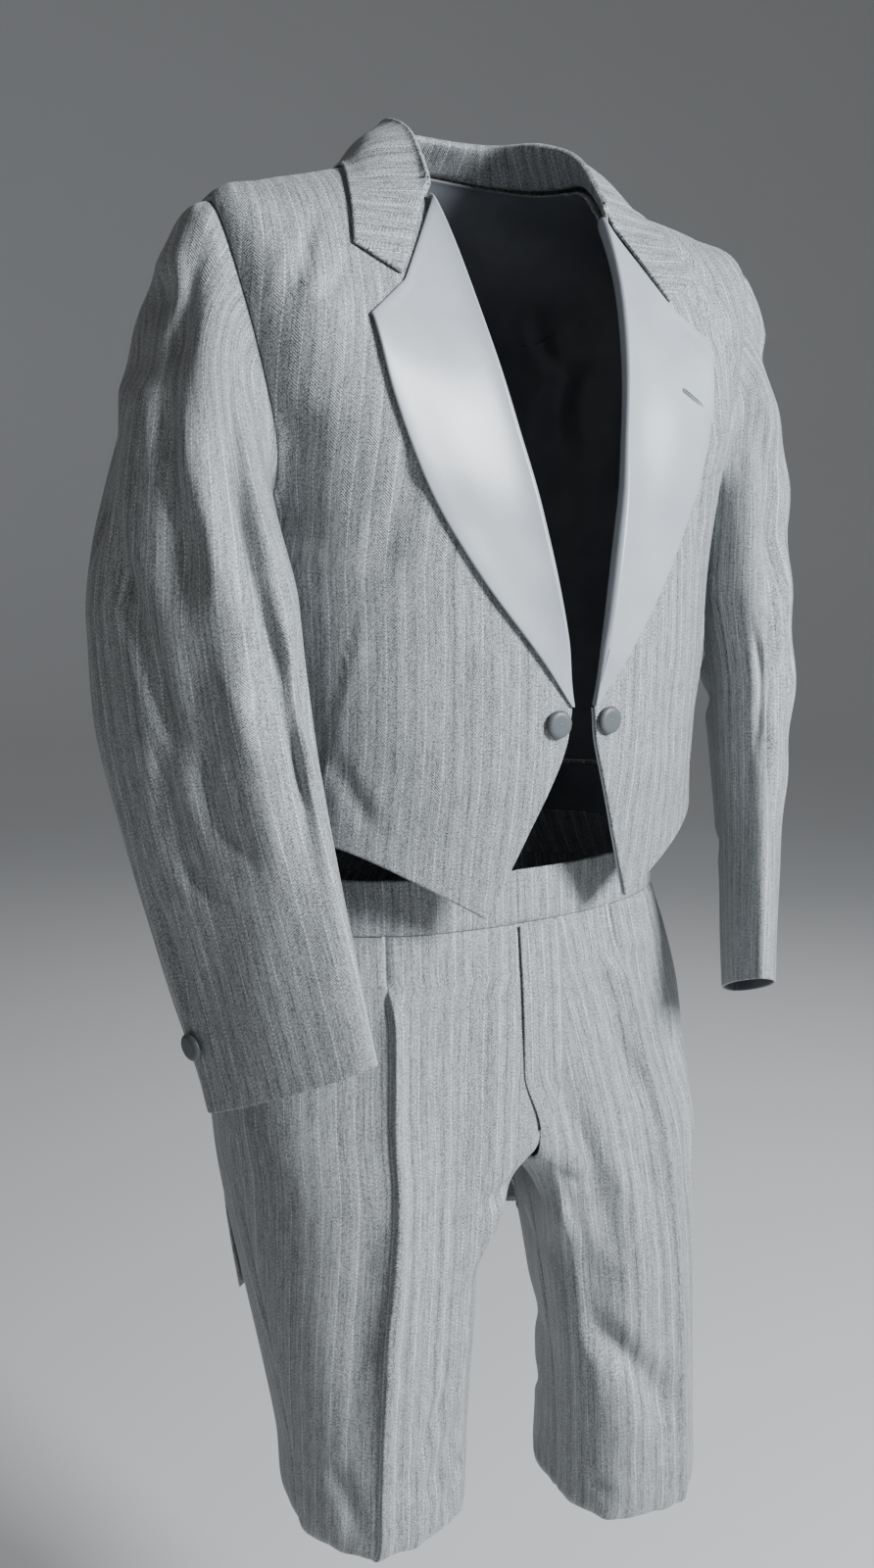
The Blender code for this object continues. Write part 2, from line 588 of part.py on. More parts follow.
def along_stops(stops, spot):
    """Smooth value along the second last axis of an array of stops, one spot for each."""
    spot = np.clip(spot, 0.0, stops.shape[-2] - 1.0)
    first = np.minimum(spot.astype(int), stops.shape[-2] - 2)
    slope = np.gradient(stops, axis=-2)

    def pick(values, index):
        return np.take_along_axis(values, index[..., None, None], axis=-2)[..., 0, :]

    share = (spot - first)[..., None]
    square, cube = share**2, share**3
    return ((2 * cube - 3 * square + 1) * pick(stops, first) + (cube - 2 * square + share) * pick(slope, first)
            + (3 * square - 2 * cube) * pick(stops, first + 1) + (cube - square) * pick(slope, first + 1))


def collar_line(place, part):
    """Collar surface: place along it from the back centre, part across it from seam to edge.

    Toward its front end the fall is bent to the gorge line and laid on the coat front.
    """
    place, part = np.broadcast_arrays(np.asarray(place, float), np.asarray(part, float))
    fall = np.clip((part - 0.5) / 0.5, 0.0, 1.0)
    end = between((GORGE[0], GORGE[1], COLLAR_CORNER), fall)
    lift = LAPEL_CLOTH + OVERLAY_EASE + 0.0035 * np.exp(-fall * 0.07 / 0.012)
    laid = on_front(end[..., 0], end[..., 1], lift)
    shift = laid - collar_section(np.ones_like(place), part)
    fade = np.clip((place - 0.70) / 0.30, 0.0, 1.0) ** 2.0 * soft_step(fall / 0.2)
    return collar_section(place, part) + shift * fade[..., None]


def collar_grid(side_sign):
    """Outer and inner points of one half of the collar."""
    places = np.linspace(0.0, 1.0, 13)[:, None]
    parts = np.array([0.0, 0.18, 0.36, 0.43, 0.50, 0.57, 0.64, 0.74, 0.87, 1.0])[None, :]
    places, parts = np.broadcast_arrays(places, parts)
    outer = collar_line(places, parts)
    thick = normal(collar_line, places, parts)
    inner = outer - thick * COLLAR_CLOTH
    keep = soft_step((parts - 0.55) / 0.2)[..., None]
    raised = lifted_clear(inner, OVERLAY_EASE)
    inner = inner + (raised - inner) * keep
    outer = outer + (raised - (outer - thick * COLLAR_CLOTH)) * keep
    return outer * [side_sign, 1, 1], inner * [side_sign, 1, 1]


def collar():
    """Collar in one piece: stand, roll and fall, round the back of the neck."""
    left_outer, left_inner = collar_grid(1.0)
    right_outer, right_inner = collar_grid(-1.0)
    outer = np.concatenate([right_outer[::-1], left_outer[1:]])
    inner = np.concatenate([right_inner[::-1], left_inner[1:]])
    outer, inner = (inset(grid, GORGE_GAP, ("first row", "last row")) for grid in (outer, inner))
    return wall("collar", outer, inner, "coat_cloth")


def breast_welt():
    """Welt of the breast pocket, on the wearer's left."""
    low = between(WELT[:2], np.linspace(0.0, 1.0, 6))
    high = between((WELT[3], WELT[2]), np.linspace(0.0, 1.0, 6))
    part = np.linspace(0.0, 1.0, 4)[:, None, None]
    flat = low[None] + (high - low)[None] * part
    outer = on_front(flat[..., 0], flat[..., 1], OVERLAY_EASE + WELT_CLOTH)
    inner = on_front(flat[..., 0], flat[..., 1], OVERLAY_EASE)
    return wall("breast_welt", outer, inner, "coat_cloth")


def leg_square(level, across):
    """Squareness of a leg row: its inner half is squarer at the fork."""
    fork = soft_step(1.0 - np.abs(np.asarray(level, float) - 5.0) / 1.6)
    return LEG_SQUARE + FORK_SQUARE * fork * (np.asarray(across) < 0.0)


def leg(angle, level):
    """Trouser surface on the wearer's left: angle 0 front, pi/2 side, pi back."""
    angle, level = np.broadcast_arrays(np.asarray(angle, float), np.asarray(level, float))
    row = spline(list(TROUSERS.values()), level)
    z, outer_x, inner_x, y_front, y_side, y_back = np.moveaxis(row, -1, 0)
    middle, reach = (outer_x + inner_x) / 2.0, (outer_x - inner_x) / 2.0
    across, ahead = np.sin(angle), np.cos(angle)
    square = leg_square(level, across)
    size = (np.abs(across) ** square + np.abs(ahead) ** square) ** (1.0 / square)
    depth = np.where(ahead > 0.0, y_side - y_front, y_back - y_side)
    y = y_side - depth * ahead / size
    slant = soft_step((level - 5.0) / 0.9) * np.interp(level, *np.transpose(INNER_SLANT))
    x = middle + reach * across / size + slant * np.clip(-across / size, 0.0, 1.0) * (y - y_front)
    from_crease = x - along(CREASE_LINE, -z)
    ridge = CREASE_RISE * np.exp(-((from_crease / 0.010) ** 2)) * soft_step((-z - 0.55) / 0.06)
    fold = np.interp(-z, (0.535, 0.59, 0.75, 0.97), (0.0, 1.0, 0.8, 0.3))
    step = -PLEAT_DEPTH * fold * np.tanh(from_crease / 0.003) * np.exp(-((from_crease / 0.035) ** 2))
    front = soft_step(ahead / 0.3)
    return np.stack([x, y - (ridge + step) * front, z], axis=-1)


def leg_angle(level, x):
    """Angle, ahead of the side seam, at which a trouser row stands at a given x."""
    row = spline(list(TROUSERS.values()), level)
    middle, reach = (row[..., 1] + row[..., 2]) / 2.0, (row[..., 1] - row[..., 2]) / 2.0
    ratio = np.clip((x - middle) / reach, -1.0, 1.0)
    square = leg_square(level, ratio)
    ahead = (1.0 - np.abs(ratio) ** square) ** (1.0 / square)
    return np.arctan2(ratio, ahead)


def inseam(level):
    """Angle of the middle plane in a hip row, or of the inseam in a leg row."""
    return leg_angle(level, 0.0)


def leg_out(angle, level, lift):
    """Point on the trouser surface moved out by a lift."""
    return leg(angle, level) - normal(leg, angle, level) * np.asarray(lift)[..., None]


def stance(points, side):
    """Trouser points placed for one side: both legs lean a little, the left hangs lower."""
    placed = mirrored(points, side)
    low = soft_step((-placed[..., 2] - 0.62) / 0.36)
    placed[..., 0] += LEG_SWAY * low
    if side == "L":
        placed[..., 2] -= LEG_LOWER * low
    return placed


def front_angles(levels, start):
    """Angles of the front panel's columns, close together at the crease."""
    crease = leg_angle(levels, along(CREASE_LINE, 0.482 + 0.0 * levels))
    heights = leg(crease, levels)[..., 2]
    crease = leg_angle(levels, along(CREASE_LINE, -heights))
    near = np.array([0.013, 0.0035])
    inner = crease - near / 0.09
    outer = crease + near[::-1] / 0.09
    first = start + (inner[:, :1] - start) * np.linspace(0.0, 1.0, 7)[None, :-1]
    last = outer[:, -1:] + (SIDE - outer[:, -1:]) * np.linspace(0.0, 1.0, 5)[None, 1:]
    return np.concatenate([first, inner, crease, outer, last], axis=1)


def trouser_panel(name, side, back):
    """Front or back of one trouser leg, from the waist seam to the turned-in end."""
    levels = np.concatenate([np.linspace(LEG["waist seam"], LEG["seat"], 8),
                             LEG["seat"] + np.array([0.28, 0.52, 0.74, 0.88, 0.97]),
                             np.linspace(LEG["crotch"], LEG["leg end"], 6),
                             np.linspace(LEG["leg end"], LEG["turned in"], 3)[1:]])[:, None]
    start = inseam(levels)
    if back:
        shares = np.linspace(0.0, 1.0, 9)[None, :]
        angles = SIDE + (math.pi - start - SIDE) * shares
    else:
        angles = front_angles(levels, start)
    levels = np.broadcast_to(levels, angles.shape)
    outer = leg(angles, levels)
    inner = leg_out(angles, levels, np.full(angles.shape, -TROUSER_CLOTH))
    hips = (levels < LEG["crotch"])[..., None] * np.array([1.0, 0.0, 0.0])
    inner = np.where(hips > 0, np.maximum(inner, 0.0), inner)
    outer, inner = (inset(grid, SEAM / 2, ALL_SIDES) for grid in (outer, inner))
    return wall(f"{name}_{side}", stance(outer, side), stance(inner, side), "trouser_cloth")


def waistband(side):
    """One half of the waistband, from the front opening to the back seam."""
    levels = np.linspace(0.0, LEG["waist seam"], 3)[:, None]
    angles = np.linspace(0.004, math.pi, 15)[None, :]
    levels, angles = np.broadcast_arrays(levels, angles)
    outer = leg_out(angles, levels, np.full(angles.shape, 0.0006))
    inner = leg_out(angles, levels, np.full(angles.shape, -TROUSER_CLOTH))
    outer, inner = (inset(grid, SEAM / 2, ALL_SIDES) for grid in (outer, inner))
    return wall(f"waistband_{side}", stance(outer, side), stance(inner, side), "trouser_cloth")


def fly():
    """Fly lap on the wearer's left front, from the waist seam to its curved foot."""
    down = np.linspace(0.0, 1.0, 12)[:, None]
    levels = LEG["waist seam"] + 0.03 + (FLY_FOOT - LEG["waist seam"] - 0.03) * down
    start = inseam(levels)
    row = spline(list(TROUSERS.values()), levels)
    reach = (row[..., 1] - row[..., 2]) / 2.0
    width = FLY_WIDTH * np.sqrt(np.clip(1.0 - np.clip((down - 0.72) / 0.28, 0.0, 1.0) ** 2.2, 0.012, 1.0))
    across = np.linspace(0.0, 1.0, 4)[None, :]
    angles = start + 0.004 + (width / (reach * np.cos(start))) * across
    levels = np.broadcast_to(levels, angles.shape)
    outer = leg_out(angles, levels, np.full(angles.shape, FLY_EASE + FLY_CLOTH))
    inner = leg_out(angles, levels, np.full(angles.shape, FLY_EASE))
    return wall("fly", stance(outer, "L"), stance(inner, "L"), "trouser_cloth")


def button(name, centre, out, side, slot):
    """Covered button: a low dome on a flat back, facing along its outward direction."""
    out = np.array(out) / np.linalg.norm(out)
    right = np.cross((0.0, 0.0, 1.0), out)
    right /= np.linalg.norm(right)
    up = np.cross(out, right)
    profile = ((0.0, 0.0), (0.85, 0.0), (1.0, 0.35), (0.90, 0.75), (0.50, 0.96), (0.0, 1.0))
    turns = np.linspace(0.0, 2.0 * math.pi, 20, endpoint=False)
    vertices, faces = [], []
    for radius, height in profile:
        if radius == 0.0:
            vertices.append(np.array(centre) + out * height * BUTTON_HEIGHT)
            continue
        for turn in turns:
            flat = (right * math.cos(turn) + up * math.sin(turn)) * radius * BUTTON_RADIUS
            vertices.append(np.array(centre) + flat + out * height * BUTTON_HEIGHT)
    count = len(turns)
    top = len(vertices) - 1
    for spoke in range(count):
        after = (spoke + 1) % count
        faces.append([0, 1 + after, 1 + spoke])
        for ring in range(len(profile) - 3):
            low, high = 1 + ring * count, 1 + (ring + 1) * count
            faces.append([low + spoke, low + after, high + after, high + spoke])
        last = 1 + (len(profile) - 3) * count
        faces.append([last + spoke, last + after, top])
    return add_solid(name, mirrored(vertices, side), faces, slot)


def buttons(side):
    """Covered buttons: one beside the front's break and one on the cuff's back seam."""
    angle, level = front_place(*FRONT_BUTTON)
    out = -normal(torso, angle, level)
    button(f"button_front_{side}", torso(angle, level) + out * 0.0003, out, side, "button_satin")
    turns = BACK_SEAM - 2.0 * math.pi + np.radians((22.5, 45.0, 22.5, 45.0))
    shares = np.repeat(CUFF_BUTTON_SHARES, 2)
    corners = sleeve(turns, shares)
    out = np.cross(corners[1] - corners[0], corners[2] - corners[0])
    out *= -np.sign(out @ normal(sleeve, turns[0], shares[0]))
    out /= np.linalg.norm(out)
    button(f"button_cuff_{side}", corners.mean(axis=0) + out * 0.0008, out, side, "button_satin")


def build():
    """Make every piece in turn."""
    clear_scene()
    for side in "RL":
        coat_front(side)
        coat_back(side)
        coat_tail(side)
        tail_lining(side)
        sleeve_piece("sleeve_top", BACK_SEAM - 2 * math.pi, FRONT_SEAM, 11, side)
        sleeve_piece("sleeve_under", FRONT_SEAM, BACK_SEAM, 7, side)
        lapel(side)
        buttons(side)
        trouser_panel("trouser_front", side, back=False)
        trouser_panel("trouser_back", side, back=True)
        waistband(side)
    collar()
    breast_welt()
    fly()


build()
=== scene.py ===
"""Looks of a worn, hollow tailcoat suit in silver-grey herringbone stripe.

Each panel is a thin sheet of cloth laid on the form that its solid has.  The sheets carry the
creases, seams, finished edges and weave.  The origin is the middle of the neck's base, +Z is up,
-Y is the wearer's front and +X is the wearer's left.  All lengths are metres, but for the tables
of creases, which are in millimetres.
"""

import logging
import math
from dataclasses import dataclass, field
from enum import Enum
from typing import Any, Callable, Optional, Sequence, Union

import bpy
import numpy as np
from mathutils import Matrix, Vector


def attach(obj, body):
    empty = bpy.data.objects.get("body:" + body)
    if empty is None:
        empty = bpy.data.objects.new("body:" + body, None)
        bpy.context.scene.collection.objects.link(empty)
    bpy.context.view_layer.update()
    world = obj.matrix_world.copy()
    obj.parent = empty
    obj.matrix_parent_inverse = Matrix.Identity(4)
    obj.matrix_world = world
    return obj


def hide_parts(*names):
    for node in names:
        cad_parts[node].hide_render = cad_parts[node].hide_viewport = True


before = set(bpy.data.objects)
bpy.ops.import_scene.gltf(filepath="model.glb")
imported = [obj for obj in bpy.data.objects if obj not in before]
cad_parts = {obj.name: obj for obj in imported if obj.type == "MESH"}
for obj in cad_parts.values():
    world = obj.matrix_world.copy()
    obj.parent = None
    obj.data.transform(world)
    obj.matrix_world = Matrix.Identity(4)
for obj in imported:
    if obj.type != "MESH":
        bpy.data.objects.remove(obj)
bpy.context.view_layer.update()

LOG = logging.getLogger("tailcoat_suit")
Array = np.ndarray
Piece = bpy.types.Object
Material = bpy.types.Material
Tree = bpy.types.NodeTree
Node = bpy.types.Node
Socket = bpy.types.NodeSocket
Line = tuple[tuple[float, float], ...]

# Cloth thicknesses and the gaps between layers, as the solids have them.
COAT_CLOTH = 0.0022
TAIL_CLOTH = 0.0016
LINING_CLOTH = 0.0008
SLEEVE_CLOTH = 0.0018
LAPEL_CLOTH = 0.0022
COLLAR_CLOTH = 0.0026
TROUSER_CLOTH = 0.0016
OVERLAY_EASE = 0.0010
SEAM = 0.0003
# Step of a slope that is measured on a surface.
STEP = 1e-4

# Coat rings: front centre, side and back centre heights, then the half width, the depths at
# front centre, side and back centre, and how square the ring is (2 is an ellipse).
COAT_RINGS = {
    "neck seam":      (-0.100, -0.006, 0.010, 0.080, -0.104, -0.016, 0.068, 2.0),
    "inner shoulder": (-0.130, -0.018, -0.036, 0.125, -0.114, -0.022, 0.090, 2.1),
    "outer shoulder": (-0.160, -0.032, -0.082, 0.175, -0.123, -0.032, 0.107, 2.2),
    "shoulder point": (-0.192, -0.050, -0.125, 0.213, -0.131, -0.040, 0.117, 2.2),
    "shoulder blade": (-0.225, -0.125, -0.172, 0.210, -0.140, -0.024, 0.122, 2.3),
    "chest":          (-0.256, -0.200, -0.220, 0.197, -0.145, -0.010, 0.122, 2.3),
    "armpit":         (-0.290, -0.262, -0.268, 0.188, -0.149, -0.002, 0.116, 2.3),
    "rib":            (-0.335, -0.332, -0.330, 0.184, -0.152, 0.000, 0.106, 2.3),
    "waist":          (-0.400, -0.400, -0.398, 0.178, -0.151, 0.002, 0.098, 2.3),
    "hem":            (-0.460, -0.458, -0.460, 0.186, -0.141, 0.004, 0.106, 2.3),
    "high hip":       (-0.525, -0.530, -0.530, 0.204, -0.130, 0.004, 0.124, 2.3),
    "seat":           (-0.610, -0.610, -0.610, 0.206, -0.125, 0.004, 0.131, 2.4),
    "under seat":     (-0.700, -0.700, -0.700, 0.196, -0.120, 0.004, 0.134, 2.6),
    "tail":           (-0.790, -0.790, -0.790, 0.190, -0.120, 0.004, 0.136, 2.6),
    "tail hem":       (-0.880, -0.880, -0.880, 0.184, -0.120, 0.004, 0.136, 2.6),
}
SIDE = math.radians(90.0)
ARMHOLE_TOP = 3.0
ARMHOLE_BOTTOM = 6.0
ARMHOLE_FRONT = math.radians(27.0)
ARMHOLE_BACK = math.radians(24.0)
WAIST_SEAM = 8.72
TAIL_HEM = 13.82

# Lines of the front view: x and z on the wearer's left.
ROLL_LINE = ((0.071, -0.030), (0.062, -0.100), (0.047, -0.180), (0.028, -0.270), (0.009, -0.362))
FRONT_CUT = ((0.009, -0.362), (0.014, -0.392), (0.036, -0.448), (0.060, -0.504))
FRONT_HEM = ((0.060, -0.504), (0.100, -0.480), (0.145, -0.455), (0.186, -0.440))
LAPEL_EDGE = ((0.137, -0.117), (0.128, -0.165), (0.108, -0.220), (0.076, -0.275), (0.038, -0.325),
              (0.011, -0.360))
GORGE = ((0.071, -0.030), (0.108, -0.091))
COLLAR_CORNER = (0.137, -0.073)
TAIL_RIM = ((8.72, 93.0), (9.5, 94.0), (10.3, 99.0), (11.2, 112.0), (12.0, 127.0), (13.0, 130.0),
            (13.82, 134.0))

# Collar, from the back centre to its front end: x, y and z of the roll line, angle in degrees and
# ring of the seam, then x, y and z of the outer edge.
COLLAR = {
    "back centre": (0.000, 0.046, 0.032, 180.0, 0.02, 0.000, 0.090, -0.004),
    "back neck":   (0.042, 0.035, 0.030, 136.0, 0.02, 0.062, 0.074, -0.008),
    "neck side":   (0.062, -0.006, 0.025, 90.0, 0.02, 0.098, 0.014, -0.010),
    "front neck":  (0.067, -0.042, 0.010, 68.0, 0.04, 0.118, -0.040, -0.020),
    "front end":   (0.070, -0.070, -0.024, 56.0, 0.14, 0.137, -0.079, -0.072),
}

# Sleeve stations below the armhole: x, y and z of the centre, half sizes of the flattened oval, and
# how much its front end is raised.
SLEEVE = {
    "under armhole": (0.233, -0.047, -0.300, 0.076, 0.035, 0.12),
    "elbow":         (0.233, -0.058, -0.360, 0.077, 0.031, 0.22),
    "forearm":       (0.227, -0.071, -0.420, 0.073, 0.027, 0.30),
    "mid forearm":   (0.217, -0.088, -0.490, 0.068, 0.023, 0.36),
    "wrist":         (0.206, -0.105, -0.560, 0.064, 0.020, 0.40),
    "cuff":          (0.200, -0.114, -0.600, 0.062, 0.018, 0.42),
}
SLEEVE_TURN = math.radians(35.0)
SLEEVE_HEAD = 0.34
SLEEVE_EASE = 0.0045
# Seam allowance under the armhole's edge: reach away from the hole and depth, the deepest first.
SLEEVE_TUCK = ((0.0060, 0.0056), (0.0035, 0.0050), (0.0014, 0.0040), (0.0003, 0.0026), (-0.0003, 0.0012))
BACK_SEAM = math.radians(-90.0)
FRONT_SEAM = math.radians(135.0)

# Trouser rows, for the wearer's left: height, outer and inner x, depth at front, side and back.
TROUSERS = {
    "waistband top": (-0.482, 0.158, -0.158, -0.098, 0.000, 0.088),
    "waist seam":    (-0.521, 0.165, -0.165, -0.101, 0.000, 0.100),
    "high hip":      (-0.562, 0.181, -0.181, -0.106, 0.000, 0.116),
    "hip":           (-0.607, 0.194, -0.182, -0.110, 0.000, 0.126),
    "seat":          (-0.652, 0.197, -0.124, -0.113, -0.002, 0.124),
    "crotch":        (-0.700, 0.194, 0.0015, -0.117, -0.008, 0.108),
    "upper thigh":   (-0.750, 0.191, 0.012, -0.121, -0.019, 0.088),
    "thigh":         (-0.805, 0.187, 0.021, -0.125, -0.033, 0.064),
    "mid thigh":     (-0.860, 0.183, 0.034, -0.128, -0.046, 0.041),
    "above knee":    (-0.910, 0.180, 0.044, -0.130, -0.056, 0.023),
    "leg end":       (-0.957, 0.178, 0.050, -0.130, -0.060, 0.014),
    "turned in":     (-0.966, 0.161, 0.060, -0.112, -0.060, -0.004),
}
LEG_SQUARE = 2.35
# Extra squareness of the inner half at the fork, and the slant of the legs' inner side by row.
FORK_SQUARE = 4.6
INNER_SLANT = ((6.0, 0.44), (7.0, 0.43), (8.0, 0.35), (9.0, 0.20), (10.0, 0.09), (11.0, 0.05))
LEG_SWAY = 0.005
LEG_LOWER = 0.062

WELT = ((0.117, -0.211), (0.168, -0.202), (0.171, -0.174), (0.127, -0.182))
FRONT_BUTTON = (0.021, -0.371)
CUFF_BUTTON = (math.radians(-56.0), 0.8585)
# The welt's outer face over the front.
WELT_LIFT = OVERLAY_EASE + 0.0014
BUTTON_RADIUS = 0.0095
BUTTON_HEIGHT = 0.0045


class Side(Enum):
    """The wearer's side that a piece is made for."""

    LEFT = "L"
    RIGHT = "R"


class Border(Enum):
    """A border of a sheet's rows and columns."""

    FIRST_ROW = "first row"
    LAST_ROW = "last row"
    FIRST_COLUMN = "first column"
    LAST_COLUMN = "last column"


class Hold(Enum):
    """How a sheet is held, in the frame's own words."""

    HUNG = "hung"
    LAID = "laid"
    FOLDED = "folded"


def unit(vectors: Array) -> Array:
    """Vectors at unit length."""
    return vectors / np.maximum(np.linalg.norm(vectors, axis=-1, keepdims=True), 1e-12)


def floats(*values: Any) -> Sequence[Array]:
    """Values as arrays of numbers, all of one shape."""
    return np.broadcast_arrays(*(np.asarray(value, dtype=float) for value in values))


def cubic(start: Array, leave: Array, end: Array, arrive: Array, part: Array) -> Array:
    """Curve from a start to an end with a slope at each, at a part of the way."""
    square, cube = part**2, part**3
    return ((2 * cube - 3 * square + 1) * start + (cube - 2 * square + part) * leave
            + (3 * square - 2 * cube) * end + (cube - square) * arrive)


def oval_size(across: Array, ahead: Array, square: Any) -> Array:
    """Size of a way in a squared oval: the way divided by it ends on the oval."""
    return (np.abs(across) ** square + np.abs(ahead) ** square) ** (1.0 / square)


def normal_of(surface: Callable[[Array, Array], Array], first: Array, second: Array) -> Array:
    """Unit vectors square to a surface that two numbers give."""
    by_first = surface(first + STEP, second) - surface(first - STEP, second)
    by_second = surface(first, second + STEP) - surface(first, second - STEP)
    return unit(np.cross(by_first, by_second))


def halved(low: Array, high: Array, past: Callable[[Array], Array]) -> Array:
    """Where a test turns true between two limits, found by halving."""
    for _ in range(30):
        middle = (low + high) / 2.0
        beyond = past(middle)
        high = np.where(beyond, middle, high)
        low = np.where(beyond, low, middle)
    return (low + high) / 2.0


def spline(rows: Any, place: Any) -> Array:
    """Smooth value of a table of rows.

    Args:
        rows: The table, one row of numbers for each stop.
        place: Row numbers, which may be fractions.

    Returns:
        One row of numbers for each place.
    """
    rows = np.asarray(rows, dtype=float)
    place = np.clip(np.asarray(place, dtype=float), 0.0, len(rows) - 1.0)
    low = np.minimum(place.astype(int), len(rows) - 2)
    slope = np.gradient(rows, axis=0)
    return cubic(rows[low], slope[low], rows[low + 1], slope[low + 1], (place - low)[..., None])


def rounded(points: Line, count: int = 80) -> Array:
    """Points of a smooth line through a short row of stops."""
    return spline(points, np.linspace(0.0, len(points) - 1.0, count))


def value_at(points: Any, value: Any) -> Array:
    """Second column of a two-column table at values of its first column."""
    table = np.array(points, dtype=float)
    table = table[np.argsort(table[:, 0])]
    return np.interp(value, table[:, 0], table[:, 1])


def soft_step(value: Any) -> Array:
    """Zero below 0, one above 1 and a smooth rise between."""
    value = np.clip(value, 0.0, 1.0)
    return value * value * (3.0 - 2.0 * value)


def between(points: Any, share: Any) -> Array:
    """Place a share of the way along an open line, by its length."""
    line = np.array(points, dtype=float)
    lengths = np.concatenate([[0.0], np.cumsum(np.linalg.norm(np.diff(line, axis=0), axis=1))])
    here = np.asarray(share) * lengths[-1]
    return np.stack([np.interp(here, lengths, line[:, axis]) for axis in range(line.shape[1])], axis=-1)


def edged(count: int, width: float) -> Array:
    """Shares from 0 to 1 with extra stops close to both ends, for rounded edges.

    Args:
        count: How many even steps the middle has.
        width: Real width in metres that the shares cover.
    """
    near = np.array([0.00025, 0.0007, 0.0014, 0.0024]) / width
    middle = np.linspace(0.0, 1.0, count + 1)
    middle = middle[(middle > near[-1] * 1.3) & (middle < 1.0 - near[-1] * 1.3)]
    return np.concatenate([[0.0], near, middle, 1.0 - near[::-1], [1.0]])


def mirrored(points: Array, side: Side) -> Array:
    """Points as given for the wearer's left, or mirrored for the right."""
    points = np.array(points, dtype=float)
    if side is Side.RIGHT:
        points[..., 0] *= -1.0
    return points


@dataclass(frozen=True)
class Cut:
    """Flat cut of a piece of cloth: its greatest width and length, and its area."""

    width: float
    length: float
    area: float


@dataclass(frozen=True)
class Fold:
    """A crease given in a table: a soft, uneven trough with raised cloth beside it.

    The line runs over a piece's chart, whose two numbers are metres across and height.  A depth
    below zero makes a ridge.
    """

    line: Line
    width: float
    depth: float
    ease: float = 0.8

    def at(self, chart: Array) -> Array:
        """Height that this fold adds at each place of a chart."""
        stops = rounded(self.line, 6 * len(self.line))
        best = np.full(chart.shape[:-1], 1e9)
        where = np.zeros(chart.shape[:-1])
        run = 0.0
        for start, end in zip(stops[:-1], stops[1:]):
            step = end - start
            length = float(np.linalg.norm(step))
            part = np.clip(((chart - start) @ step) / length**2, 0.0, 1.0)
            gap = np.linalg.norm(chart - (start + part[..., None] * step), axis=-1)
            nearer = gap < best
            best = np.where(nearer, gap, best)
            where = np.where(nearer, run + part * length, where)
            run += length
        phase = 40.0 * float(stops[0].sum())
        share = where / run
        wide = self.width * (1.0 + 0.22 * np.sin(where / 0.017 + phase))
        taper = soft_step(share / 0.35 + 0.12) * soft_step((1.0 - share) / 0.35 + 0.12)
        uneven = 1.0 + 0.25 * np.sin(where / 0.012 + 1.7 * phase)
        near = (best / wide) ** 2
        return -self.depth * uneven * taper * (1.0 - self.ease * near) * np.exp(-near)


def creases(*rows: tuple[Any, ...]) -> tuple[Fold, ...]:
    """Folds from rows in millimetres: a line's points, a width, a depth and perhaps an ease."""
    return tuple(Fold(tuple((x / 1000.0, z / 1000.0) for x, z in line), width / 1000.0, depth / 1000.0,
                      *ease) for line, width, depth, *ease in rows)


# Coat fronts: the shoulder's pulls, the drape by the armhole, and the dart's foot.
FRONT_CREASES = {
    Side.RIGHT: creases(
        (((156, -52), (164, -70), (176, -92), (190, -122)), 6.5, 4.5),
        (((140, -80), (154, -97), (172, -114)), 5.5, 2.4),
        (((180, -165), (180, -200), (172, -262)), 15, 6.7, 0.4),
        (((112, -190), (122, -225), (131, -256), (141, -282)), 11, 3.9, 0.5),
        (((157, -384), (148, -405), (140, -426), (138, -444)), 7.5, 2.8),
        (((80, -300), (92, -350), (86, -410)), 20, 2.7, 0.3),
    ),
    Side.LEFT: creases(
        (((128, -40), (150, -62), (178, -92)), 6, 4.2),
        (((118, -62), (144, -92), (176, -120)), 6.5, 3.9),
        (((140, -100), (160, -126), (184, -150)), 6, 2.7),
        (((180, -160), (182, -200), (174, -258)), 14, 6, 0.4),
        (((112, -215), (124, -250), (138, -280)), 11, 3.3, 0.5),
        (((158, -378), (148, -405), (142, -438)), 6.5, 3.6),
        (((70, -310), (86, -360), (82, -420)), 18, 2.4, 0.3),
    ),
}
# Coat back: below the shoulder blade and above the waist.
BACK_CREASES = creases(
    (((165, -100), (150, -150), (158, -215)), 13, 6, 0.5),
    (((120, -70), (140, -110), (160, -130)), 8, 3),
    (((165, -330), (120, -375), (60, -392)), 10, 3.9),
    (((150, -390), (100, -415), (45, -418)), 9, 3),
    (((20, -360), (50, -385), (90, -392)), 8, 2.1),
)
# Tails: long upright drapes.
TAIL_CREASES = creases(
    (((60, -470), (64, -600), (60, -760)), 20, 6, 0.6),
    (((120, -520), (122, -660), (116, -800)), 22, 7.5, 0.6),
    (((30, -640), (28, -740), (32, -860)), 15, 3.7, 0.5),
)
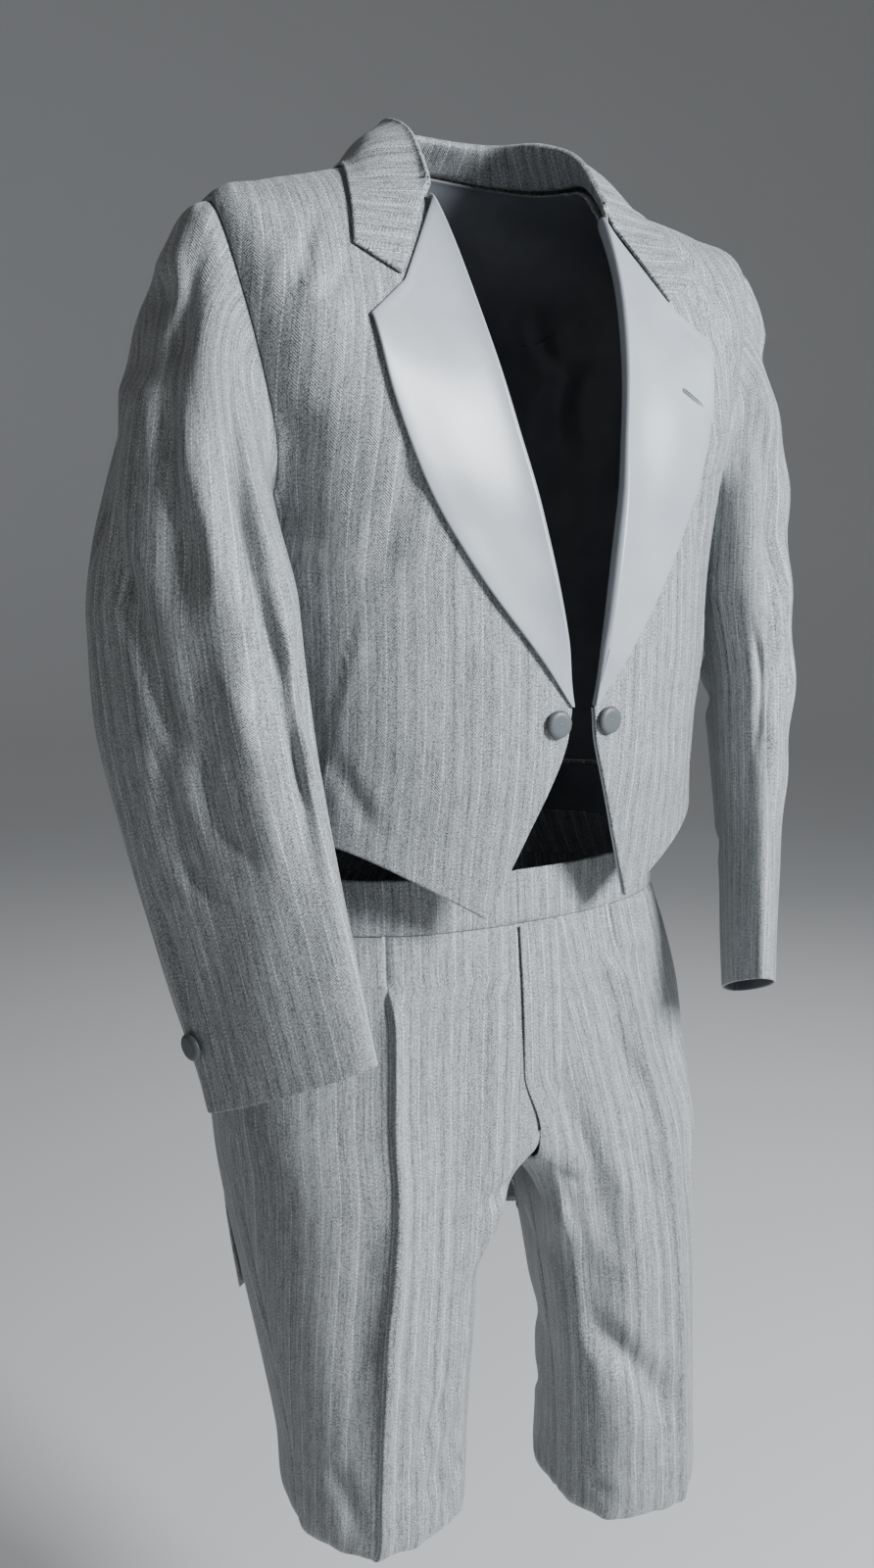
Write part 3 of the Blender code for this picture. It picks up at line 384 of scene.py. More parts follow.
# Sleeves: millimetres across are degrees of turn round the sleeve.
SLEEVE_CREASES = creases(
    (((24, -78), (28, -105), (22, -129), (8, -152)), 13, 8.5, 0.6),
    (((0, -85), (-4, -120), (-12, -165)), 28, 10, 0.1),
    (((52, -95), (50, -140), (42, -190)), 16, -5, 0.2),
    (((12, -146), (14, -196), (18, -254), (15, -300)), 10, 5.9, 0.7),
    (((42, -120), (30, -196), (34, -251), (34, -324), (38, -413), (36, -490)), 13, -6.3, 0.3),
    (((62, -150), (54, -210), (52, -265), (61, -323), (64, -398), (60, -470)), 11, 7.7, 0.6),
    (((-24, -215), (-20, -270), (-8, -320), (-3, -360), (-4, -400)), 9, 6.3, 0.7),
    (((-10, -371), (-14, -418), (-12, -455), (-2, -480)), 8, 4.9, 0.7),
    (((13, -370), (9, -410), (14, -432), (26, -444)), 6, 3.9, 0.7),
    (((-46, -460), (-44, -517), (-46, -560)), 8, 4.6, 0.6),
    (((-50, -150), (-44, -200), (-50, -270)), 14, 7, 0.5),
    (((90, -300), (84, -350), (100, -400)), 9, 3.9, 0.6),
    (((150, -300), (180, -330), (230, -345)), 10, 6.3, 0.7),
    (((160, -350), (195, -372), (250, -380)), 9, 5.3, 0.7),
    (((225, -220), (210, -270), (222, -320)), 10, 4.6, 0.6),
    (((170, -470), (205, -490), (250, -500)), 9, 3.2, 0.7),
)
# Trouser fronts: from the pleat, across the fork, and above the turned-in end.
LEG_CREASES = {
    Side.RIGHT: creases(
        (((58, -560), (60, -620), (68, -690), (75, -770)), 14, 2.2, 0.4),
        (((10, -690), (30, -712), (56, -722)), 8, 3.8),
        (((14, -715), (32, -745), (50, -780)), 10, 3.4),
        (((138, -819), (130, -815), (124, -800)), 5, 1.6),
        (((80, -838), (98, -862), (116, -890), (130, -920)), 9, 3.4),
        (((74, -872), (92, -896), (112, -928)), 9, 3.6),
        (((64, -900), (82, -925), (100, -950)), 8, 3),
        (((172, -890), (162, -920), (158, -948)), 9, 3.2),
        (((142, -700), (148, -780), (158, -870)), 14, 3.4, 0.5),
    ),
    Side.LEFT: creases(
        (((22, -630), (34, -670), (49, -708), (62, -742), (72, -780)), 12, 6, 0.6),
        (((26, -700), (44, -755), (64, -812)), 24, 7, 0.6),
        (((52, -660), (78, -740), (104, -820)), 26, -4, 0.6),
        (((56, -535), (60, -567), (72, -609), (92, -660), (106, -700)), 7.5, 5, 0.7),
        (((22, -802), (57, -822), (85, -845), (108, -872), (122, -895)), 15, 9, 0.6),
        (((40, -850), (66, -872), (94, -900)), 16, -4, 0.3),
        (((34, -906), (52, -926), (68, -944)), 10, 6, 0.6),
        (((20, -526), (15, -556)), 5, 1.8),
        (((10, -700), (34, -715), (60, -712)), 8, 3),
        (((150, -620), (152, -700), (160, -780)), 13, 3.4, 0.5),
    ),
}
# Trouser backs: under the seat and behind the knee.
LEG_BACK_CREASES = creases(
    (((12, -690), (50, -712), (105, -706)), 11, 7.5, 0.6),
    (((16, -725), (60, -748), (118, -742)), 11, 6.6, 0.6),
    (((30, -770), (75, -795), (130, -790)), 10, 4.8, 0.6),
    (((60, -850), (100, -868), (150, -862)), 12, 6.9, 0.6),
    (((65, -900), (105, -916), (150, -905)), 10, 5.7, 0.6),
    (((70, -545), (66, -610)), 4, 2.4),
)


def creased(chart: Array, folds: Sequence[Fold]) -> Array:
    """Height that folds add together at each place of a chart."""
    return sum(fold.at(chart) for fold in folds)


@dataclass(frozen=True)
class Unevenness:
    """Soft, seeded unevenness of worn cloth, longer up and down than across."""

    size: float
    height: float
    seed: int
    stretch: float = 0.35

    def at(self, points: Array) -> Array:
        """Height added at each point."""
        random = np.random.default_rng(self.seed)
        total = np.zeros(points.shape[:-1])
        for _ in range(12):
            way = unit(random.normal(size=3)) * 2.0 * math.pi / (self.size * random.uniform(0.7, 1.7))
            way[2] *= self.stretch
            total += np.sin(points @ way + random.uniform(0.0, 2.0 * math.pi))
        return total * self.height / math.sqrt(12.0)


@dataclass(frozen=True)
class CoatForm:
    """The coat's surface on the wearer's left, by angle from front centre and by ring."""

    def at(self, angle: Any, level: Any) -> Array:
        """Points of the surface."""
        angle, level = floats(angle, level)
        row = spline(list(COAT_RINGS.values()), level)
        z_front, z_side, z_back, half_width, y_front, y_side, y_back, square = np.moveaxis(row, -1, 0)
        across, ahead = np.sin(angle), np.cos(angle)
        size = oval_size(across, ahead, square)
        y_end = np.where(ahead > 0.0, y_front, y_back)
        z_end = np.where(ahead > 0.0, z_front, z_back)
        return np.stack([half_width * across / size, y_side + (y_end - y_side) * np.abs(ahead) / size,
                         z_side + (z_end - z_side) * ahead**2], axis=-1)

    def out(self, angle: Any, level: Any) -> Array:
        """Unit vectors that point out of the coat."""
        angle, level = floats(angle, level)
        return -normal_of(self.at, angle, np.maximum(level, 2 * STEP))

    def lifted(self, angle: Any, level: Any, lift: Any) -> Array:
        """Points a lift outside the surface."""
        angle, level, lift = floats(angle, level, lift)
        return self.at(angle, level) + self.out(angle, level) * lift[..., None]

    def slopes(self, angle: Array, level: Array) -> tuple[Array, Array, Array]:
        """Points of the surface, and how they move with the angle and with the ring."""
        here = self.at(angle, level)
        by_angle, by_level = self.at(angle + STEP, level) - here, self.at(angle, level + STEP) - here
        return here, by_angle / STEP, by_level / STEP

    def place(self, x: Any, z: Any) -> tuple[Array, Array]:
        """Angle and ring of the front surface that stand at x and z in front view."""
        x, z = floats(x, z)
        level = np.interp(-z, (0.02, 0.10, 0.20, 0.29, 0.40, 0.52), (1.0, 2.0, 4.0, 6.0, 8.0, 10.0))
        angle = np.arcsin(np.clip(x / 0.19, 0.01, 0.95))
        for _ in range(24):
            here, by_angle, by_level = self.slopes(angle, level)
            miss_x, miss_z = x - here[..., 0], z - here[..., 2]
            turn = by_angle[..., 0] * by_level[..., 2] - by_level[..., 0] * by_angle[..., 2]
            angle_step = (miss_x * by_level[..., 2] - by_level[..., 0] * miss_z) / turn
            level_step = (by_angle[..., 0] * miss_z - miss_x * by_angle[..., 2]) / turn
            angle = np.clip(angle + np.clip(angle_step, -0.2, 0.2), 0.0, SIDE)
            level = np.clip(level + np.clip(level_step, -0.8, 0.8), 0.0, 11.0)
        return angle, level

    def on_front(self, x: Any, z: Any, lift: Any) -> Array:
        """Points over the front at x and z in front view."""
        angle, level = self.place(x, z)
        return self.lifted(angle, level, lift)

    def clear(self, points: Array, lift: float) -> Array:
        """Points pushed out until they stand at least a lift above the surface.

        A coarse grid gives each point's first guess, and steps along the slopes settle it.
        """
        angles, levels = np.meshgrid(np.linspace(0.4, math.pi, 46), np.linspace(0.0, 4.5, 46))
        grid = self.at(angles.ravel(), levels.ravel())
        flat = points.reshape(-1, 3)
        best = np.concatenate([((part[:, None, :] - grid[None]) ** 2).sum(axis=2).argmin(axis=1)
                               for part in np.array_split(flat, 8)])
        angle, level = angles.ravel()[best], levels.ravel()[best]
        for _ in range(12):
            here, by_angle, by_level = self.slopes(angle, level)
            miss = flat - here
            aa, bb = (by_angle**2).sum(1), (by_level**2).sum(1)
            ab = (by_angle * by_level).sum(1)
            am, bm = (by_angle * miss).sum(1), (by_level * miss).sum(1)
            turn = np.maximum(aa * bb - ab * ab, 1e-12)
            angle = np.clip(angle + (am * bb - bm * ab) / turn, 0.0, math.pi)
            level = np.clip(level + (aa * bm - ab * am) / turn, 0.0, 14.0)
        out = self.out(angle, level)
        short = lift - ((flat - self.at(angle, level)) * out).sum(axis=-1)
        push = 0.5 * (short + np.sqrt(short**2 + 0.001**2))
        return (flat + out * push[:, None]).reshape(points.shape)

    def armhole(self, turn: Any) -> tuple[Array, Array]:
        """Angle and ring of the armhole at a turn: 0 shoulder, a quarter front, a half armpit."""
        turn = np.asarray(turn, dtype=float)
        reach = np.where(np.sin(turn) > 0.0, ARMHOLE_FRONT, ARMHOLE_BACK)
        half = (ARMHOLE_BOTTOM - ARMHOLE_TOP) / 2.0
        return SIDE - reach * np.sin(turn), ARMHOLE_TOP + half - half * np.cos(turn)

    def side_edge(self, level: Array, forward: bool) -> Array:
        """Angle of a panel's side edge: shoulder seam, armhole, then side seam."""
        half = (ARMHOLE_BOTTOM - ARMHOLE_TOP) / 2.0
        across = np.sqrt(np.clip(1.0 - ((level - ARMHOLE_TOP - half) / half) ** 2, 0.0, 1.0))
        return SIDE - ARMHOLE_FRONT * across if forward else SIDE + ARMHOLE_BACK * across

    def front_edge(self, level: Array) -> Array:
        """Angle of the front panel's free edge: the roll line, then the cutaway edge."""
        edge = np.concatenate([rounded(ROLL_LINE), rounded(FRONT_CUT)[1:]])[:, ::-1]

        def outside(angle: Array) -> Array:
            """True where the surface is past the free edge."""
            here = self.at(angle, level)
            return here[..., 0] > value_at(edge, here[..., 2])

        return halved(np.zeros_like(level), np.full_like(level, SIDE), outside)

    def front_bottom(self, shares: Array) -> Array:
        """Ring of the front hem for each share of the way from free edge to side seam."""
        hem = rounded(FRONT_HEM)

        def below(level: Array) -> Array:
            """True where the surface is below the hem."""
            start = self.front_edge(level)
            here = self.at(start + (SIDE - start) * shares, level)
            return here[..., 2] < value_at(hem, here[..., 0])

        return halved(np.full_like(shares, 7.0), np.full_like(shares, 10.4), below)

    def panel_levels(self, bottom: Array) -> Array:
        """Rings of a panel's rows, close together where the armhole turns quickly."""
        upper = ARMHOLE_TOP * edged(34, 0.14)[:-5]
        upper = upper[upper < ARMHOLE_TOP - 0.03]
        arm = self.armhole(np.linspace(0.0, math.pi, 45))[1]
        part = edged(46, 0.2)[5:]
        lower = ARMHOLE_BOTTOM + (bottom[:, None] - ARMHOLE_BOTTOM) * np.concatenate([[0.02], part])
        fixed = np.broadcast_to(np.concatenate([upper, arm]), (len(bottom), len(upper) + len(arm)))
        return np.concatenate([fixed, lower], axis=1).T


COAT = CoatForm()


@dataclass(frozen=True)
class SleeveForm:
    """The sleeve's surface on the wearer's left, by turn round it and share of its length."""

    def station(self, turn: Array, place: Any) -> Array:
        """Points below the armhole, by row number in the sleeve's table."""
        x, y, z, half_long, half_short, rise = np.moveaxis(spline(list(SLEEVE.values()), place), -1, 0)
        long_way, short_way = half_long * np.sin(turn), half_short * np.cos(turn)
        return np.stack([x - math.sin(SLEEVE_TURN) * long_way + math.cos(SLEEVE_TURN) * short_way,
                         y - math.cos(SLEEVE_TURN) * long_way - math.sin(SLEEVE_TURN) * short_way,
                         z + rise * long_way], axis=-1)

    def clear_of_side(self, points: Array, gap: float) -> Array:
        """Points pushed out along x until they stand a gap clear of the coat's side."""
        rings = np.array(list(COAT_RINGS.values()))
        place = np.interp(-points[..., 2], -rings[:, 1], np.arange(len(rings)))
        row = spline(rings, place)
        half_width, y_front, y_side, y_back, square = (row[..., column] for column in (3, 4, 5, 6, 7))
        y = points[..., 1]
        depth = np.where(y < y_side, y_side - y_front, y_back - y_side)
        ahead = np.clip(np.abs(y - y_side) / depth, 0.0, 1.0)
        over = half_width * (1.0 - ahead**square) ** (1.0 / square) + gap - points[..., 0]
        pushed = points.copy()
        pushed[..., 0] += 0.5 * (over + np.sqrt(over**2 + 0.003**2)) * (over > -0.02)
        return pushed

    def at(self, turn: Any, share: Any) -> Array:
        """Points of the surface."""
        turn, share = floats(turn, share)
        angle, level = COAT.armhole(turn)
        start = COAT.lifted(angle, level, 0.0006 + 0.0010 * (1.0 - np.cos(turn)) / 2.0)
        below = self.station(turn, (share - SLEEVE_HEAD) / (1.0 - SLEEVE_HEAD) * (len(SLEEVE) - 1.0))
        end = self.station(turn, np.zeros_like(turn))
        down = unit(self.station(turn, np.full_like(turn, 0.05)) - end)
        reach = np.linalg.norm(end - start, axis=-1, keepdims=True)
        top = (1.0 + np.cos(turn)) / 2.0
        out = unit(np.stack([0.35 + 0.65 * top, np.zeros_like(top), -1.0 + 0.60 * top], axis=-1))
        pull = reach * (0.50 + 0.10 * top[..., None])
        head = cubic(start, out * pull, end, down * reach * 0.95,
                     np.clip(share / SLEEVE_HEAD, 0.0, 1.0)[..., None])
        points = np.where((share < SLEEVE_HEAD)[..., None], head, below)
        free = soft_step(share / 0.12)[..., None]
        return points + (self.clear_of_side(points, SLEEVE_EASE) - points) * free

    def out(self, turn: Any, share: Any) -> Array:
        """Unit vectors that point out of the sleeve."""
        return normal_of(self.at, *floats(turn, share))

    def tucked(self, turn: Array) -> Array:
        """Rows of seam allowance that run under the armhole's edge, the deepest first."""
        angle, level = COAT.armhole(turn)
        seam, out = COAT.at(angle, level), COAT.out(angle, level)
        middle = COAT.at(SIDE, (ARMHOLE_TOP + ARMHOLE_BOTTOM) / 2.0)
        away = seam - middle
        away = unit(away - out * (away * out).sum(axis=-1, keepdims=True))
        return np.concatenate([seam + away * reach - out * depth for reach, depth in SLEEVE_TUCK])

    def weave(self, points: Array, turns: Array) -> tuple[Array, Array]:
        """Metres across and along the weave, which hangs straight down from the shoulder.

        Args:
            points: Rows, columns and three coordinates, the rows running from seam to cuff.
            turns: Turn round the sleeve at each point.
        """
        table = np.array(list(SLEEVE.values()))
        x, y, half_long, half_short = (np.interp(-points[..., 2], -table[:, 2], table[:, column])
                                       for column in (0, 1, 3, 4))
        ahead, aside = points[..., 0] - x, points[..., 1] - y
        long_way = -math.sin(SLEEVE_TURN) * ahead - math.cos(SLEEVE_TURN) * aside
        short_way = math.cos(SLEEVE_TURN) * ahead - math.sin(SLEEVE_TURN) * aside
        top = soft_step((points[..., 2] + 0.16) / 0.10)
        short_way = short_way + (half_short - short_way) * top
        seen = np.arctan2(long_way / half_long, short_way / half_short)
        seen = turns + (seen - turns + math.pi) % (2.0 * math.pi) - math.pi
        angles = np.radians(np.arange(-180.0, 361.0))
        steps = np.hypot(0.074 * np.cos(angles), 0.033 * np.sin(angles)) * math.radians(1.0)
        run = np.interp(seen, angles, np.cumsum(steps) - np.cumsum(steps)[202]) * half_long / 0.074
        step = np.abs(np.diff(points[..., 2], axis=0))
        extra = top[1:] * (np.hypot(np.diff(ahead, axis=0), step) - step)
        extra = np.pad(np.cumsum(extra[::-1], axis=0)[::-1], [(0, 1), (0, 0)])
        return run, -1.03 * points[..., 2] - extra


SLEEVES = SleeveForm()


def make_object(name: str, points: Array, faces: Any, finishes: Sequence[Material],
                pattern: Optional[Array] = None, index: Optional[Array] = None) -> Piece:
    """Make a smooth mesh and its object.

    Args:
        name: The object's name.
        points: Its vertices.
        faces: Vertex numbers of each face.
        finishes: Its materials.
        pattern: Metres across and along the weave at each vertex.
        index: Number of the material that each face has.

    Returns:
        The new object, at the origin.
    """
    mesh = bpy.data.meshes.new(name)
    mesh.from_pydata(points.tolist(), [], faces)
    if pattern is not None:
        loops = np.empty(len(mesh.loops), dtype=np.int32)
        mesh.loops.foreach_get("vertex_index", loops)
        layer = mesh.uv_layers.new(name="Cloth")
        layer.data.foreach_set("uv", pattern[loops].ravel().astype(np.float32))
    for finish in finishes:
        mesh.materials.append(finish)
    if index is not None:
        mesh.polygons.foreach_set("material_index", index)
    mesh.polygons.foreach_set("use_smooth", np.ones(len(faces), dtype=bool))
    mesh.update()
    piece = bpy.data.objects.new(name, mesh)
    bpy.context.collection.objects.link(piece)
    return piece


@dataclass
class Sheet:
    """A sheet of cloth as rows and columns of points on its outer face.

    Attributes:
        face: The points, as rows, columns and three coordinates.
        out: A vector for each point that shows which way is out.
        across: Metres across the weave at each point.
        along: Metres along the weave at each point.
        thickness: One thickness, or one for each point.
        sewn: Borders that sink a little into a seam.  All others are finished edges.
        seam_depth: How far a sewn border sinks.
        side: The wearer's side that the sheet is made for.
    """

    face: Array
    out: Array
    across: Array
    along: Array
    thickness: Union[float, Array]
    sewn: tuple[Border, ...] = ()
    seam_depth: float = 0.0011
    side: Side = Side.LEFT

    def reach(self, border: Border) -> Array:
        """Distance of each point from a border, along the sheet."""
        axis = 0 if border in (Border.FIRST_ROW, Border.LAST_ROW) else 1
        steps = np.linalg.norm(np.diff(self.face, axis=axis), axis=-1)
        run = np.cumsum(steps, axis=axis)
        pad = [(1, 0), (0, 0)] if axis == 0 else [(0, 0), (1, 0)]
        run = np.pad(run, pad)
        if border in (Border.LAST_ROW, Border.LAST_COLUMN):
            run = np.take(run, [-1], axis=axis) - run
        return run

    def clear_of(self, border: Border, width: float, start: float = 0.0) -> Array:
        """Zero, or a little more, at a border, rising to one at a distance from it."""
        return soft_step(self.reach(border) / width + start)

    def normals(self) -> Array:
        """Outward unit vectors of the face as it now is."""
        found = unit(np.cross(np.gradient(self.face, axis=0), np.gradient(self.face, axis=1)))
        return found * np.sign((found * self.out).sum(axis=-1).mean())

    def push(self, height: Array) -> None:
        """Move the face out by a height for each point."""
        self.face = self.face + self.normals() * height[..., None]

    def layers(self) -> tuple[Array, Array]:
        """Outer and inner points, with seams sunk and every edge rounded."""
        gaps = {border: self.reach(border) for border in Border}
        for border in self.sewn:
            self.push(-self.seam_depth * np.exp(-((gaps[border] / 0.0028) ** 2)))
        out = self.normals()
        thick = np.broadcast_to(np.asarray(self.thickness, dtype=float), self.face.shape[:-1])
        fullness = np.ones(self.face.shape[:-1])
        for border in Border:
            part = np.clip(gaps[border] / (thick * 0.55), 0.0, 1.0)
            fullness = np.minimum(fullness, np.sqrt(1.0 - (1.0 - part) ** 2))
        fullness = np.maximum(fullness, 0.12)
        top = (thick * (1.0 - fullness) / 2.0)[..., None]
        low = (thick * (1.0 + fullness) / 2.0)[..., None]
        return self.face - out * top, self.face - out * low

    def build(self, name: str, outer: Material,
              inner: Optional[Material] = None, facing: Optional[Array] = None,
              facing_finish: Optional[Material] = None) -> Piece:
        """Make the sheet's object.

        Args:
            name: The piece's name.
            outer: Finish of the outer face and the edges.
            inner: Finish of the inner face, if it differs.
            facing: True for each cell whose inner face is a facing.
            facing_finish: Finish of the facing.

        Returns:
            The new object, at the origin.
        """
        rows, columns = self.face.shape[:2]
        top, low = self.layers()
        points = mirrored(np.concatenate([top.reshape(-1, 3), low.reshape(-1, 3)]), self.side)
        number = np.arange(rows * columns).reshape(rows, columns)
        cells = np.stack([number[:-1, :-1], number[1:, :-1], number[1:, 1:], number[:-1, 1:]], axis=-1)
        cells = cells.reshape(-1, 4)
        count = rows * columns
        rim = []
        for line, flip in ((number[0], True), (number[-1], False), (number[:, 0], False),
                           (number[:, -1], True)):
            strip = np.stack([line[:-1], line[:-1] + count, line[1:] + count, line[1:]], axis=-1)
            rim.append(strip[:, ::-1] if flip else strip)
        faces = np.concatenate([cells, cells[:, ::-1] + count] + rim)
        first = points[cells[:, 1]] - points[cells[:, 0]]
        second = points[cells[:, 3]] - points[cells[:, 0]]
        outward = mirrored(self.out, self.side).reshape(-1, 3)[cells[:, 0]]
        if (np.cross(first, second) * outward).sum() < 0.0:
            faces = faces[:, ::-1]
        pattern = np.stack([self.across, self.along], axis=-1).reshape(-1, 2)
        index = np.zeros(len(faces), dtype=np.int32)
        if inner is not None:
            index[len(cells):2 * len(cells)] = 1
        if facing is not None:
            index[len(cells) + np.flatnonzero(facing.reshape(-1))] = 2
        finishes = [finish for finish in (outer, inner, facing_finish) if finish is not None]
        return make_object(name, points, faces.tolist(), finishes, np.concatenate([pattern, pattern]), index)


def run_across(points: Array, depth_weight: Any = 1.0, height_weight: float = 0.0) -> Array:
    """Metres across the weave, counted along each row from its first column.

    Args:
        points: Rows, columns and three coordinates.
        depth_weight: How much of a move in depth counts, for each point or for all.
        height_weight: How much of a move in height counts.
    """
    step = np.diff(points, axis=1)
    weight = np.broadcast_to(np.asarray(depth_weight, dtype=float), points.shape[:-1])[:, 1:]
    length = np.sqrt(step[..., 0] ** 2 + weight * step[..., 1] ** 2 + height_weight * step[..., 2] ** 2)
    return np.pad(np.cumsum(length, axis=1), [(0, 0), (1, 0)])


def run_down(points: Array) -> Array:
    """Metres down the weave, counted along each column from the height of its first row."""
    step = np.diff(points, axis=0)
    length = np.sqrt(step[..., 1] ** 2 + step[..., 2] ** 2)
    return np.pad(np.cumsum(length, axis=0), [(1, 0), (0, 0)]) - points[:1, :, 2]


def linear(code: str) -> tuple[float, float, float, float]:
    """Linear colour of an sRGB hex value such as "8a8f90"."""
    parts = [int(code[start:start + 2], 16) / 255.0 for start in (0, 2, 4)]
    red, green, blue = (part / 12.92 if part <= 0.04045 else ((part + 0.055) / 1.055) ** 2.4
                        for part in parts)
    return red, green, blue, 1.0


def connect(tree: Tree, node: Node, inputs: dict[Any, Any]) -> None:
    """Give a node's inputs, by name or number, their values or another node's outputs."""
    for name, value in inputs.items():
        if isinstance(value, Socket):
            tree.links.new(value, node.inputs[name])
        else:
            node.inputs[name].default_value = value


def add(tree: Tree, kind: str, inputs: Optional[dict[Any, Any]] = None,
        **settings: Any) -> Node:
    """Add a node with its settings, values and links.

    Args:
        tree: The tree that gets the node.
        kind: The node's type name.
        inputs: A value, or another node's output, for each input's name or number.
        settings: Attributes of the node.

    Returns:
        The new node.
    """
    made = tree.nodes.new(kind)
    for name, value in settings.items():
        setattr(made, name, value)
    connect(tree, made, inputs or {})
    return made


def math_of(tree: Tree, operation: str, *values: Any,
            clamp: bool = False) -> Socket:
    """Output of a Math node over numbers or other outputs."""
    return add(tree, "ShaderNodeMath", dict(enumerate(values)), operation=operation,
               use_clamp=clamp).outputs[0]


def noise(tree: Tree, place: Socket, scale: float, detail: float,
          length: Optional[float] = None) -> Socket:
    """Output of a soft noise; a length scale below 1 draws it out along the warp."""
    if length is not None:
        place = add(tree, "ShaderNodeMapping", {0: place, "Scale": (1.0, length, 1.0)}).outputs[0]
    return add(tree, "ShaderNodeTexNoise", {"Vector": place, "Scale": scale, "Detail": detail}).outputs[0]


def mix(tree: Tree, share: Any, low: Any, high: Any) -> Socket:
    """Output of a colour between two others."""
    return add(tree, "ShaderNodeMix", {0: share, 6: low, 7: high}, data_type="RGBA").outputs[2]


def cloth_place(tree: Tree) -> Socket:
    """Output with the metres across and along the weave."""
    return add(tree, "ShaderNodeUVMap", uv_map="Cloth").outputs[0]


@dataclass(frozen=True)
class Finish:
    """A named material; each kind says what goes into its shader."""

    name: str

    def shading(self, tree: Tree) -> dict[str, Any]:
        """Values and outputs for the shader's inputs."""
        raise NotImplementedError

    def build(self) -> Material:
        """Make the material."""
        made = bpy.data.materials.new(self.name)
        made.use_nodes = True
        shader = made.node_tree.nodes["Principled BSDF"]
        connect(made.node_tree, shader, self.shading(made.node_tree))
        return made


@dataclass(frozen=True)
class HerringboneStripe(Finish):
    """Worsted wool and mohair, woven as a fine herringbone with a dotted pin stripe.

    The eye gets a salt-and-pepper grain, narrow upright columns whose twill slants left and right
    by turns, short slubs along the warp, and a dotted light thread every 12.5 mm.  The real
    twill is about 1 mm apart; it is drawn at nearly twice that, so that it shows.
    """

    light: str = "b6babb"
    dark: str = "46494a"
    pin: str = "f6f8f8"
    spacing: float = 0.0125
    twill: float = 0.0018
    dot: float = 0.0028
    yarn_width: float = 0.00082
    float_length: float = 0.00105

    def shading(self, tree: Tree) -> dict[str, Any]:
        """Values and outputs for the shader's inputs."""
        cloth = cloth_place(tree)
        axes = add(tree, "ShaderNodeSeparateXYZ", {0: cloth})
        drift = noise(tree, cloth, 30.0, 1.0, 0.25)
        sway = math_of(tree, "MULTIPLY_ADD", math_of(tree, "SUBTRACT", drift, 0.5), 0.0012,
                       axes.outputs[0])
        columns = math_of(tree, "DIVIDE", sway, self.spacing / 2.0)
        edge = math_of(tree, "PINGPONG", columns, 1.0)
        slant = math_of(tree, "MULTIPLY", edge, self.spacing / 2.0 / self.twill)
        rise = math_of(tree, "DIVIDE", axes.outputs[1], self.twill)
        phase = math_of(tree, "MULTIPLY", math_of(tree, "ADD", slant, rise), 2.0 * math.pi)
        wave = math_of(tree, "SINE", phase)
        # Slubs: warp yarns that swell for a centimetre or two.
        slub = noise(tree, cloth, 620.0, 2.0, 0.075)
        # Shadow stripes: ruled bands 3 to 6 mm wide that run the cloth's whole length.
        band = noise(tree, cloth, 210.0, 1.0, 0.010)
        # Grain: each float of yarn is a little lighter or darker, in steps that follow the twill.
        lift = math_of(tree, "MULTIPLY_ADD", edge, self.spacing / 2.0, axes.outputs[1])
        float_at = add(tree, "ShaderNodeCombineXYZ", {
            0: math_of(tree, "FLOOR", math_of(tree, "DIVIDE", axes.outputs[0], self.yarn_width)),
            1: math_of(tree, "FLOOR", math_of(tree, "DIVIDE", lift, self.float_length))}).outputs[0]
        yarn = add(tree, "ShaderNodeTexWhiteNoise", {"Vector": float_at}).outputs[0]
        fleck = noise(tree, cloth, 1400.0, 0.5, 0.7)
        tone = math_of(tree, "MULTIPLY_ADD", wave, 0.10, 0.48)
        for part, share in ((slub, 0.80), (band, 0.55), (fleck, 1.5), (yarn, 0.42)):
            tone = math_of(tree, "MULTIPLY_ADD", math_of(tree, "SUBTRACT", part, 0.5), share, tone)
        hollow = math_of(tree, "MULTIPLY", math_of(tree, "SUBTRACT", edge, 0.86), -1.4)
        hollow = math_of(tree, "MINIMUM", hollow, 0.0)
        tone = math_of(tree, "ADD", tone, hollow, clamp=True)
        base = mix(tree, tone, linear(self.dark), linear(self.light))
        # The pin thread: dots of a light yarn at every second column edge.
        thread = math_of(tree, "MULTIPLY_ADD", edge, -10.0, 1.0, clamp=True)
        dots = math_of(tree, "MULTIPLY_ADD", math_of(
            tree, "SINE", math_of(tree, "MULTIPLY", axes.outputs[1], 2.0 * math.pi / self.dot)), 0.5, 0.5)
        worn = math_of(tree, "MULTIPLY_ADD", slub, 1.6, -0.15, clamp=True)
        pin = math_of(tree, "MULTIPLY", math_of(tree, "MULTIPLY", thread, dots), worn)
        relief = math_of(tree, "MULTIPLY_ADD", fleck, 1.0, math_of(tree, "MULTIPLY", wave, 0.35))
        bump = add(tree, "ShaderNodeBump", {"Height": relief, "Strength": 0.6, "Distance": 0.0005})
        return {"Base Color": mix(tree, pin, base, linear(self.pin)),
                "Roughness": math_of(tree, "MULTIPLY_ADD", fleck, -0.3, 0.66),
                "Normal": bump.outputs[0], "IOR": 1.5, "Sheen Weight": 0.2, "Sheen Roughness": 0.35}


